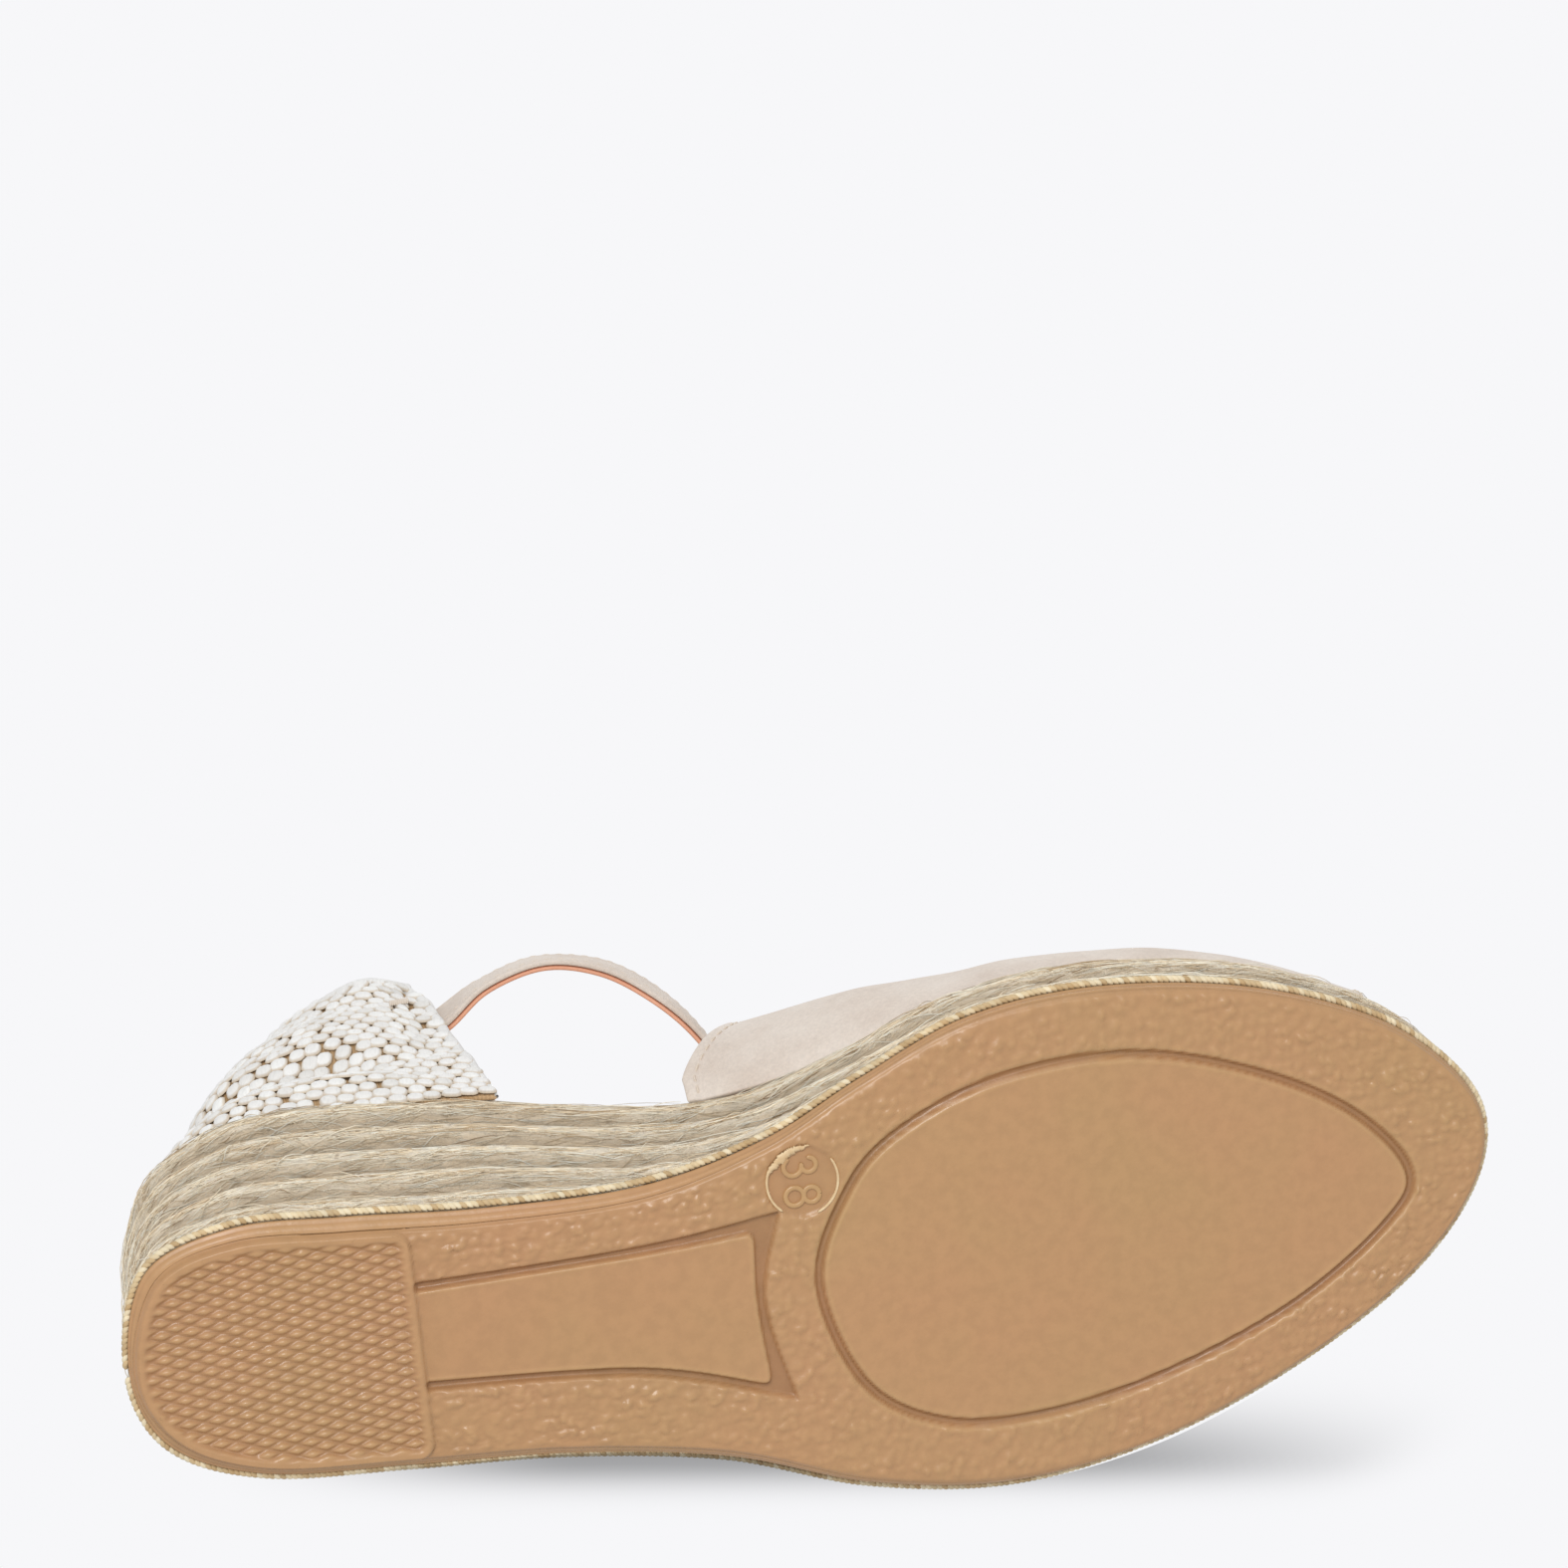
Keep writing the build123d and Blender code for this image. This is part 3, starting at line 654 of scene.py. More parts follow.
def crumbs(name, dark, light, scale):
    """Pressed granules, such as cork or cellulose board."""
    look = Look(name, specular_ior_level=0.2)
    grain = look.cells(scale)
    colour = look.ramp(look.noise(look.here, scale, 4), [(0.35, dark), (0.65, light)])
    colour = look.shade(colour, look.ramp(grain, [(0.1, 1.05), (0.6, 0.7)]), 0.6)
    rough = look.ramp(grain, [(0.1, 0.75), (0.6, 0.95)])
    return look.finish(colour, rough, look.bump(grain, 0.0003, 0.7))


# ---------------------------------------------------------------- rubber sole

def patch(curve, rows, columns):
    """A grid of points that fills a closed outline, and the places on the outline along its border."""
    inner_places = evenly(curve, HEEL_CORNERS[1], TOE_CORNERS[0], rows)
    outer_places = evenly(curve, TURN + HEEL_CORNERS[0], TOE_CORNERS[1], rows)
    heel_places = evenly(curve, HEEL_CORNERS[1], HEEL_CORNERS[0], columns)
    toe_places = evenly(curve, TOE_CORNERS[0], TOE_CORNERS[1], columns)
    inner, outer, heel, toe = (curve(p) for p in (inner_places, outer_places, heel_places, toe_places))
    u = np.linspace(0, 1, rows)[:, None, None]
    v = np.linspace(0, 1, columns)[None, :, None]
    filled = (1 - v) * inner[:, None] + v * outer[:, None] + (1 - u) * heel[None] + u * toe[None]
    filled -= (1 - u) * ((1 - v) * inner[0] + v * outer[0]) + u * ((1 - v) * inner[-1] + v * outer[-1])
    border = np.concatenate([
        inner_places[:-1], toe_places[:-1], outer_places[::-1][:-1] % TURN, heel_places[::-1][:-1],
    ])
    index = np.arange(rows * columns).reshape(rows, columns)
    border_index = np.concatenate([index[:-1, 0], index[-1, :-1], index[::-1, -1][:-1], index[0, ::-1][:-1]])
    return filled, border, border_index


def tread_diamonds(x, y):
    """Rounded diamonds in slanting rows, from 0 in the valleys to 1 on top."""
    along = x / TREAD_LONG
    across = y / TREAD_SHORT
    p = (along + across) % 1
    q = (along - across) % 1
    edge = np.minimum(np.minimum(p, 1 - p), np.minimum(q, 1 - q))
    plump = np.sin(math.pi * p) * np.sin(math.pi * q)
    return 0.6 * soft_step(0.06, 0.30, edge) + 0.4 * np.clip(plump, 0, 1)


def arc_line(centre, radius, start, end, count=24):
    angles = np.radians(np.linspace(start, end, count))
    return np.stack([centre[0] + radius * np.cos(angles), centre[1] + radius * np.sin(angles)], 1)


def size_number():
    """Strokes of the moulded size, 38. The digits stand one under the other with their tops towards the
    toe."""
    x, y = SIZE_DISC
    return [
        arc_line((x - 1.45, y - 2.7), 1.6, -22, 250),
        arc_line((x + 1.40, y - 2.75), 1.3, 184, -100),
        arc_line((x - 1.60, y + 2.65), 1.62, 0, 360),
        arc_line((x + 1.40, y + 2.65), 1.38, 0, 360),
    ]


def waist_line(inset, corner=0.0):
    """The tapered pad under the arch, with hollow sides and a hollow front; corner rounds its front
    corners."""
    back = HEEL_BLOCK_FRONT - 4
    inner_front = np.array([113.3 - 3 * inset, -10.9 + 2 * inset])
    outer_front = np.array([113.1 - 2.6 * inset, 23.7 - 2 * inset])
    inner = smooth([(back, -7.8 + inset), (87.7, -8.3 + inset), inner_front], np.linspace(0, 2, 40), False)
    front = smooth([inner_front, (109.3 - inset, 5.0), outer_front], np.linspace(0, 2, 30), False)
    outer = smooth([outer_front, (85.2, 15.1 - inset), (back, 11.6 - inset)], np.linspace(0, 2, 40), False)
    line = np.concatenate([inner, front[1:], outer[1:], inner[:1]])
    if not corner:
        return line
    for _ in range(int(corner * 6)):
        line[38:72] = (line[37:71] + 2 * line[38:72] + line[39:73]) / 4
    return line


def signed_distance(x, y, line):
    """Distance to a closed line, negative inside it."""
    return np.where(inside(x, y, line), -1, 1) * distance_to(x, y, line)


def sole_relief(x, y, edge_distance):
    """How far the moulded underside stands above the ground, and how light each spot is painted, 0 to 1:
    painted shade in the grooves and hollows and painted highlights on high spots and groove lips."""
    pad = smooth(FOREFOOT_PAD, np.linspace(0, len(FOREFOOT_PAD), 260))
    pad_distance = signed_distance(x, y, pad)
    waist_outer = signed_distance(x, y, waist_line(0))
    waist_inner = signed_distance(x, y, waist_line(GROOVE_WIDTH, corner=1.6))
    disc_x, disc_y = x - SIZE_DISC[0], y - SIZE_DISC[1]
    disc_distance = np.hypot(disc_x, disc_y) - SIZE_DISC_RADIUS

    near = cells(x + 0.4 * waves(x, y, 5, 5, 3), y + 0.4 * waves(x, y, 5, 5, 4), 2.05, 7)[0]
    near_fine, second_fine = cells(x, y, 1.25, 8)
    pebble = np.clip(1 - (near / 0.52) ** 2, 0, 1) * (0.75 + 0.35 * waves(x, y, 4, 4, 5))
    pebble = 0.85 * pebble + 0.15 * soft_step(0, 0.5, second_fine - near_fine)
    patchy = 0.55 + 0.45 * soft_step(-0.6, 0.7, waves(x, y, 16, 12, 9))

    heel_gap = np.minimum(edge_distance - 0.4, HEEL_BLOCK_FRONT - x)
    corner_x, corner_y = HEEL_BLOCK_FRONT - x, edge_distance - 0.4
    rounded = 3.0 - np.hypot(np.clip(3.0 - corner_x, 0, None), np.clip(3.0 - corner_y, 0, None))
    heel_gap = np.where((corner_x < 3) & (corner_y < 3), rounded, heel_gap)
    heel = soft_step(-0.1, 0.35, heel_gap)
    diamond_area = soft_step(1.1, 2.4, heel_gap) * (x < HEEL_BLOCK_FRONT)

    lift = WAIST_LIFT * np.clip((WAIST_END - x) / (WAIST_END - HEEL_BLOCK_FRONT), 0, 1) * (1 - heel)
    height = 0.15 + lift
    height += heel * diamond_area * 0.75 * (1 - tread_diamonds(x, y)) - 0.15 * heel * (1 - diamond_area)

    groove_pad = soft_step(GROOVE_WIDTH / 2 + 0.15, GROOVE_WIDTH / 2 - 0.35, np.abs(pad_distance))
    groove_waist = soft_step(0.1, -0.4, waist_outer) * soft_step(-0.3, 0.2, waist_inner) * (1 - heel)
    groove = np.maximum(groove_pad, groove_waist)
    lips = np.exp(-((np.abs(pad_distance) - GROOVE_WIDTH / 2 - 0.45) / 0.35) ** 2)
    lips = np.maximum(lips, np.exp(-((waist_inner + 0.45) / 0.35) ** 2) * (1 - heel))
    disc = soft_step(0.1, -0.15, disc_distance)
    border = (pad_distance > GROOVE_WIDTH / 2 + 0.6) & (waist_outer > 0.3) & (disc_distance > 0.5)
    rough_area = border * (1 - heel) * soft_step(0.5, 1.6, edge_distance) * patchy
    height -= 0.62 * pebble * rough_area
    height += GROOVE_DEPTH * groove - 0.12 * lips
    height += 0.42 * disc
    height += 0.03 * waves(x, y, 22, 14, 30)
    height += 0.9 * soft_step(0.7, 0.0, edge_distance) ** 2

    # Painted light and shade: darker in the grooves, the sunk disc and the lifted waist, lighter on the
    # groove lips, pebble tops and diamond tops.
    tone = 0.52 - 0.5 * groove + 0.4 * lips - 0.16 * disc
    tone += rough_area * 0.35 * (pebble - 0.3) - 0.10 * lift
    tone += heel * diamond_area * (0.75 * tread_diamonds(x, y) - 0.45)
    return height, np.clip(tone, 0, 1)


def rubber_outsole(material):
    """The moulded sole: its patterned underside and the rounded, slightly flared side up to the jute."""
    grid, border, border_index = patch(lambda places: smooth(TREAD, places), 560, 150)
    x, y = grid[..., 0], grid[..., 1]
    outline = smooth(TREAD, np.linspace(0, TURN, 400))
    edge_distance = distance_to(x, y, outline)
    height, tone = sole_relief(x, y, edge_distance)
    rows, columns = x.shape
    bottom = np.stack([x, y, height], -1).reshape(-1, 3)
    flow = np.stack([x, y, tone], -1).reshape(-1, 3)
    faces = [tuple(face) for face in grid_faces(rows, columns)[:, ::-1].tolist()]

    # The side climbs in steps; a shallow channel and a thin lip run round it under the jute.
    profile = [
        (0.12, 0.12), (0.3, 0.30), (0.5, 0.34), (0.62, 0.18), (0.7, 0.16), (0.8, 0.36), (0.92, 0.40),
        (1.0, 0.1), (1.0, -2.0),
    ]
    ring_start = bottom[border_index]
    low = smooth(TREAD, border)
    high = smooth(RIM, border)
    outward = outward_of(line_ahead(RIM, border))
    points, flows = [bottom], [flow]
    previous = border_index
    start = len(bottom)
    count = len(border)
    for part, proud in profile:
        level = RUBBER * part
        ring = low + (high - low) * part + outward * (proud - 0.3)
        z = np.maximum(np.full(count, level), ring_start[:, 2] + 0.4 * level)
        z = np.minimum(z, RUBBER)
        points.append(np.column_stack([ring, z]))
        # Painted shade: the two rings in the channel are stored darker than the rest of the side.
        ring_painted_shading = 0.44 if part in (0.62, 0.7) else 0.6
        flows.append(np.column_stack([ring, np.full(count, ring_painted_shading)]))
        current = np.arange(start, start + count)
        turned = np.roll(previous, -1)
        turned_current = np.roll(current, -1)
        faces += list(zip(previous.tolist(), turned.tolist(), turned_current.tolist(), current.tolist()))
        previous = current
        start += count
    add_piece(
        "outsole_rubber", np.concatenate(points), faces, material, "gum_rubber",
        flow=np.concatenate(flows), replaces=["outsole"],
    )


def moulded_line(line, width, base, tall):
    """A raised line with a flat top and round ends that stands down from the underside's level base."""
    along = unit(np.gradient(line, axis=0))
    side = outward_of(along)
    distance = run_length(line)
    left = np.minimum(distance, distance[-1] - distance)
    closed = np.hypot(*(line[0] - line[-1])) < 0.2
    rounded = np.sqrt(np.clip(1 - (1 - left / (width / 2)) ** 2, 0.02, 1))
    taper = 1.0 if closed else rounded ** (left < width / 2)
    rows = []
    half_section = ((1.0, -0.1), (0.92, 0.7), (0.74, 0.97))
    section = [(-across, proud) for across, proud in half_section] + [(0.0, 1.0)] + list(half_section[::-1])
    for across, proud in section:
        flat = line + side * (across * width / 2 * np.broadcast_to(taper, len(line)))[:, None]
        rows.append(np.column_stack([flat, np.full(len(line), base - tall * proud)]))
    points = np.stack(rows, 1)
    # On gum rubber, 0.98 paints the raised line pale, a painted highlight on a high spot.
    flow = np.stack([points[..., 0], points[..., 1], np.full(points.shape[:2], 0.98)], -1)
    return points.reshape(-1, 3), grid_faces(len(line), len(rows)), flow.reshape(-1, 3)


def size_mark(material):
    """The raised size number on the sunk disc."""
    parts = [moulded_line(stroke, 0.92, DISC_FLOOR, 0.46) for stroke in size_number()]
    return add_parts("outsole_size_number", parts, material, "gum_rubber")


def torn_flash(material):
    """The ragged film of rubber that the mould left at one side of the size disc, and the thin lips round
    it."""
    dice = np.random.default_rng(38)
    angles = np.radians(np.linspace(196, 286, 60))
    outer = SIZE_DISC_RADIUS + 0.1 + 0.12 * dice.normal(size=60)
    ragged = 0.75 + 0.25 * waves(angles * 20, angles * 0, 9, 9, 5)
    reach = 1.9 * np.sin(np.linspace(0, math.pi, 60)) ** 0.7 * ragged
    inner = outer - reach - 0.15 * dice.uniform(size=60)
    rings = []
    for part in np.linspace(0, 1, 6):
        radius = outer + (inner - outer) * part
        z = -0.15 - 0.25 * math.sin(part * math.pi) + 0.2 * part
        x = SIZE_DISC[0] + radius * np.cos(angles)
        y = SIZE_DISC[1] + radius * np.sin(angles)
        rings.append(np.stack([x, y, np.full(60, z + 0.25)], 1))
    film = np.concatenate(rings)
    parts = [(film, grid_faces(6, 60), np.zeros(film.shape))]
    for start, end in ((-32, 70), (130, 207)):
        parts.append(moulded_line(arc_line(SIZE_DISC, SIZE_DISC_RADIUS, start, end), 0.28, DISC_FLOOR, 0.68))
    piece = add_parts("outsole_mould_flash", parts, material, "gum_rubber")
    use_modifier(piece, "SOLIDIFY", thickness=0.0002, offset=0.0)


# ---------------------------------------------------------------- jute

def row_range(number):
    """Places round the outline where a row of braid exists, and whether it goes all the way round."""
    fine = np.linspace(-TURN / 2, TURN / 2, 1200)
    middle = smooth(RIM, fine)[:, 0]
    there = top_height(middle) - (number - 1) * ROW_HEIGHT > WALL_LOW + 1.2
    if there.all():
        return -TURN / 2, TURN / 2, True
    return fine[there][0], fine[there][-1], False


def row_surface(places, across, number, sink=0.0):
    """Points and outward directions on the bulging face of one row; across goes from its foot (0) to its
    top (1)."""
    x = smooth(RIM, places)[:, 0]
    high = top_height(x) - (number - 1) * ROW_HEIGHT
    low = np.maximum(high - ROW_HEIGHT, WALL_LOW + 0.1)
    high = np.maximum(high, low + 0.3)
    z = low + across * (high - low)
    point, outward = wall(places, z)
    depth = np.where((across > 0.5) & (number == 1), 1.2, 2.6)
    bulge = -depth * np.abs(2 * across - 1) ** 2.2 * np.clip((high - low) / ROW_HEIGHT, 0.35, 1)
    point = point + outward * (bulge - sink)[:, None]
    return np.column_stack([point, z]), np.column_stack([outward, np.zeros(len(outward))])


def braid_relief(distance, across, number):
    """Twisted strands, bundles of fibres and tufts on a row's face, in millimetres."""
    wander = 1.2 * waves(distance, across, 40, 1.5, 60 + number)
    strand = np.abs(np.sin(math.pi * (distance / 7.5 - across * 0.9 + 0.25 * wander)))
    relief = 0.45 * (strand ** 0.6 - 0.7)
    relief += 0.30 * waves(distance, across, 14, 0.22, 70 + number)
    relief += 0.16 * waves(distance, across, 5, 0.08, 80 + number)
    return relief


def jute_row(number, material):
    """One turn of jute braid: its bulging outer face, and for the top row the part that shows from above."""
    start, end, closed = row_range(number)
    places = evenly(lambda p: smooth(RIM, p), start, end, int(62 * (end - start)))
    if closed:
        places = places[:-1]
    levels = np.linspace(0, 1, 22)
    face = []
    normals = []
    for level in levels:
        point, outward = row_surface(places, np.full(len(places), level), number)
        face.append(point)
        normals.append(outward)
    face = np.array(face)
    distance = run_length(face[11])
    relief = braid_relief(distance[None], levels[:, None], number)
    end_fade = 1.0 if closed else soft_step(0, 4, np.minimum(distance, distance[-1] - distance))[None]
    face += np.array(normals) * (relief * end_fade)[..., None]
    flow = np.zeros(face.shape)
    flow[..., 0] = distance[None]
    flow[..., 1] = levels[:, None]
    if number == 1:
        inward = [1.2, 2.6, 4.2, 5.6, 6.4]
        for step, depth in enumerate(inward):
            point, outward = row_surface(places, np.ones(len(places)), number, sink=depth - 1.2)
            crown = 0.55 * math.sin(math.pi * (step + 1) / 6)
            point[:, 2] += 0.25 * waves(distance, depth, 9, 2.0, 90) + crown
            face = np.concatenate([face, point[None]])
            row_flow = np.stack([distance, np.full(len(distance), 0.62), np.zeros(len(distance))], 1)
            flow = np.concatenate([flow, row_flow[None]])
    lines, count = face.shape[:2]
    faces = grid_faces(lines, count, around=closed)
    return add_piece(
        f"jute_row_{number}", face, faces, material, "jute", flow=flow.reshape(-1, 3),
        replaces=[f"jute_braid_row_{number}"],
    )


def row_fibres(number, material):
    """Loose fibres lying along a row, a few of them curling away from it."""
    dice = np.random.default_rng(500 + number)
    start, end, closed = row_range(number)
    length = run_length(smooth(RIM, np.linspace(start, end, 400)))[-1]
    count = int(length * 6.0)
    steps = np.linspace(0, 1, 6)[None]
    per_place = length / (end - start)
    reach = dice.gamma(3.0, 2.6, count)[:, None] + 2.0
    begin = dice.uniform(start, end, count)[:, None]
    loose = dice.uniform(size=count)[:, None] < 0.06
    slope = np.where(loose, dice.normal(0, 0.5, (count, 1)), dice.normal(0, 0.13, (count, 1)) + 0.10)
    across = dice.beta(1.7, 1.7, count)[:, None]
    across = across + slope * reach / ROW_HEIGHT * (steps - 0.5)
    across = across + 0.05 * np.sin(steps * 5 + dice.uniform(0, 6, (count, 1)))
    across = np.clip(across, -0.03, 1.03)
    places = begin + reach / per_place * steps
    if not closed:
        places = np.clip(places, start, end)
    surface, outward = row_surface(places.ravel(), across.ravel(), number)
    surface = surface.reshape(count, 6, 3)
    outward = outward.reshape(count, 6, 3)
    lift = dice.uniform(-0.1, 0.28, (count, 1)) + np.where(loose, 0.7, 0.10) * np.sin(steps * math.pi * 0.8)
    centres = surface + outward * lift[..., None]
    centres[..., 2] += np.where(loose, 0.5, 0.1) * np.sin(steps * 4 + dice.uniform(0, 6, (count, 1)))
    centres[..., 2] = np.maximum(centres[..., 2], WALL_LOW + 0.3)
    pointed = 0.35 + 0.65 * np.sin(math.pi * np.clip(steps, 0.06, 0.94))
    thick = dice.uniform(0.04, 0.11, (count, 1)) * pointed
    points, faces = tubes(centres, outward, thick)
    chance = np.repeat(dice.uniform(size=count), 18)
    flow = np.column_stack([points[:, 0], np.repeat(across.ravel(), 3), chance])
    return add_piece(f"jute_fibres_{number}", points, faces, material, "jute", flow=flow)


def rope_round_sole(material):
    """The edge cord: two plies of waxed twine laid in slanting turns against the rubber."""
    places = evenly(lambda p: smooth(RIM, p), 0, TURN, 1500)
    height = np.full(len(places), RUBBER + 0.75)
    point, outward = wall(places, height)
    path = np.column_stack([point + outward * 0.25, height])
    normals = np.column_stack([outward, np.full(len(outward), -0.25)])
    points, faces, flow = stitches(path, unit(normals), pitch=1.0, length=1.75, radius=0.52, lean=1.0)
    dice = np.random.default_rng(12)
    flow[:, 2] = np.repeat(dice.uniform(size=len(flow) // 56), 56)
    return add_piece(
        "sole_edge_rope", points, faces, material, "jute", flow=flow, replaces=["sole_edge_cord"]
    )


# ---------------------------------------------------------------- upper

def shell_tree(node):
    """A search tree of a CAD node, in the drawing's millimetres."""
    mesh = NODES[node].data
    points = [tuple(np.array(v.co) * 1000 - ORIGIN) for v in mesh.vertices]
    return BVHTree.FromPolygons(points, [tuple(p.vertices) for p in mesh.polygons])


def outer_hit(tree, centre, direction, reach=90.0):
    """Where a line from outside towards centre first meets a shell, or None where it has an opening."""
    start = Vector(centre) + Vector(direction) * reach
    return tree.ray_cast(start, -Vector(direction), reach)[0]


def last_hit(test, good, bad, steps=18):
    """The furthest value from good towards bad for which test still finds the shell."""
    for _ in range(steps):
        middle = (good + bad) / 2
        if test(middle) is None:
            bad = middle
        else:
            good = middle
    return good


def vamp_grid(lines, columns):
    """Points over the vamp's outer face: lines go from its back edge to the toe opening, columns over the
    foot."""
    tree = shell_tree("vamp_outer")
    edge_x, edge_z = smooth(VAMP_BACK, np.linspace(0, len(VAMP_BACK) - 1, 80), closed=False).T
    angles = np.radians(np.linspace(-89.5, 89.5, columns))
    grid = np.zeros((lines, columns, 3))
    for column, angle in enumerate(angles):
        direction = (0.0, math.sin(angle), math.cos(angle))

        def at(x):
            return outer_hit(tree, (x, 2.0, float(top_height(x)) + 1.8), direction)

        back = last_hit(at, 165.0, 90.0) + 0.02
        for _ in range(4):
            back = max(back, float(np.interp(at(back)[2], edge_z, edge_x)))
        front = last_hit(at, 185.0, 245.0) - 0.02
        for line, x in enumerate(np.linspace(back, front, lines)):
            grid[line, column] = at(x)
    x, y = grid[..., 0], grid[..., 1]
    grid[..., 1] += 1.8 * np.exp(-((x - 116) / 18) ** 2) * soft_step(-8, -26, y)
    feet = grid[:, [0, -1]].copy()
    feet[..., 2] = top_height(feet[..., 0]) - 2.5
    feet[..., 1] -= np.sign(feet[..., 1]) * 3.0
    middle = 0.6 * grid[:, [0, -1]] + 0.4 * feet
    middle[..., 1] = 0.75 * grid[:, [0, -1], 1] + 0.25 * feet[..., 1]
    return np.concatenate([feet[:, :1], middle[:, :1], grid, middle[:, 1:], feet[:, 1:]], axis=1)


def surface_normals(grid):
    """Directions at right angles to a grid of points."""
    down = np.gradient(grid, axis=0)
    across = np.gradient(grid, axis=1)
    return unit(np.cross(down, across))


def lined_sheet(name, grid, normals, shift, thick, material, slot, replaces):
    """A sheet that follows a grid, shifted along its normals, with rounded edges; its flow is in
    millimetres."""
    rows, columns = grid.shape[:2]
    flow = np.zeros(grid.shape)
    flow[..., 0] = np.arange(rows)[:, None]
    flow[..., 1] = np.arange(columns)[None]
    piece = add_piece(
        name, grid + normals * shift, grid_faces(rows, columns)[:, ::-1], material, slot,
        flow=flow.reshape(-1, 3), replaces=replaces,
    )
    use_modifier(piece, "SOLIDIFY", thickness=thick / 1000, offset=-1.0)
    use_modifier(
        piece, "BEVEL", width=min(thick, 1.0) * 0.0004, segments=3, limit_method="ANGLE", angle_limit=0.9
    )
    return piece


def vamp(suede_look, lining_look, thread_look):
    """The open-toe vamp: soft suede with a turned edge, its leather lining and its two seams."""
    grid = vamp_grid(96, 110)
    normals = surface_normals(grid)
    x, y = grid[..., 0], grid[..., 1]
    rumple = 0.35 * waves(x, y, 34, 26, 41) + 0.16 * waves(x, y, 13, 18, 42)
    from_foot = (np.minimum(np.arange(114), np.arange(114)[::-1])[None] - 2) / 12
    grid = grid + normals * (rumple * soft_step(0, 1, from_foot))[..., None]
    edge = run_length(grid[:, 55])
    turned = 0.35 * np.exp(-((edge - 1.0) / 1.0) ** 2) - 0.25 * np.exp(-((edge - 2.6) / 0.5) ** 2)
    grid = grid + normals * turned[:, None, None]
    normals = surface_normals(grid)
    lined_sheet("vamp_suede", grid, normals, 0.0, 1.3, suede_look, "suede", ["vamp_outer"])
    lined_sheet(
        "vamp_lining_leather", grid, normals, -1.35, 0.9, lining_look, "lining_leather", ["vamp_lining"]
    )
    for name, node, far in (
        ("vamp_back_stitches", "vamp_back_seam", False), ("vamp_front_stitches", "vamp_front_seam", True)
    ):
        path, path_normals = seam_path(grid[::-1] if far else grid, normals[::-1] if far else normals, 2.6)
        seam = [stitches(path, path_normals, pitch=2.7, length=2.1, radius=0.22)]
        add_parts(name, seam, thread_look, "thread", replaces=[node])


def seam_path(grid, normals, margin):
    """A line at a fixed distance from a sheet's first edge."""
    path = np.zeros((grid.shape[1], 3))
    directions = np.zeros((grid.shape[1], 3))
    for column in range(grid.shape[1]):
        distance = run_length(grid[:, column])
        for axis in range(3):
            path[column, axis] = np.interp(margin, distance, grid[:, column, axis])
            directions[column, axis] = np.interp(margin, distance, normals[:, column, axis])
    return path, unit(directions)


def counter_grid(lines, columns):
    """Points over the heel counter's outer face: lines go up, columns from the inner front edge round the
    heel."""
    heights, backs, inners, outers = np.array(COUNTER_SECTIONS).T
    edge_x, edge_z = smooth(COUNTER_EDGE, np.linspace(0, 3.8, 60), closed=False).T
    top_x, top_z = smooth(COUNTER_EDGE, np.linspace(3.8, len(COUNTER_EDGE) - 1, 60), closed=False).T
    share = np.linspace(0, 1, columns)
    x = np.full(columns, 40.0)
    grid = np.zeros((lines, columns, 3))
    for line, part in enumerate(np.linspace(0, 1, lines)):
        for _ in range(12):
            low = top_height(x) - 3.2
            z = low + part * (np.interp(-x, -top_x, top_z) - low)
            back, inner, outer = (np.interp(z, heights, values) for values in (backs, inners, outers))
            radius = (outer - inner) / 2
            straight = np.interp(z, edge_z, edge_x) - back - radius
            reach = share * (2 * straight + math.pi * radius)
            turn = np.clip((reach - straight) / radius, 0, math.pi)
            left = np.clip(straight - reach, 0, None) + np.clip(reach - straight - math.pi * radius, 0, None)
            x = back + radius - radius * np.sin(turn) + left
            y = (inner + outer) / 2 - radius * np.cos(turn)
        grid[line] = np.column_stack([x, y, z])
    return grid


def slump(grid, normals):
    """The soft counter bulges above the wedge, creases half-way up and leans, more on the inner side."""
    z = grid[..., 2]
    columns = np.arange(grid.shape[1])
    free = soft_step(2, 26, np.minimum(columns, columns[::-1]))[None]
    inner = soft_step(4, -16, grid[..., 1])
    bulge = 2.2 * np.exp(-((z - 62) / 6.0) ** 2) - 2.2 * np.exp(-((z - 75) / 6.0) ** 2)
    bulge += 1.6 * np.exp(-((z - 89) / 9) ** 2)
    ripple = 0.5 * waves(grid[..., 0], z, 22, 14, 51)
    return grid + normals * ((0.35 + 0.65 * inner) * bulge * free + ripple * soft_step(54, 60, z))[..., None]


def pillow():
    """A plump float of yarn: points as along, across and proud from -1 to 1, its faces, and how near its
    middle each is."""
    rings = [0.0, 0.34, 0.62, 0.84, 1.0]
    sides = 12
    angles = np.arange(sides) * 2 * math.pi / sides
    rows = []
    for ring in rings:
        square = (np.abs(np.cos(angles)) ** 3 + np.abs(np.sin(angles)) ** 3) ** (-1 / 3)
        proud = np.full(sides, (1 - ring ** 2.4) ** 0.62)
        rows.append(np.stack([ring * square * np.cos(angles), ring * square * np.sin(angles), proud], 1))
    faces = grid_faces(len(rings), sides, around=True)
    return np.concatenate(rows), faces, np.repeat(1 - np.array(rings), sides)


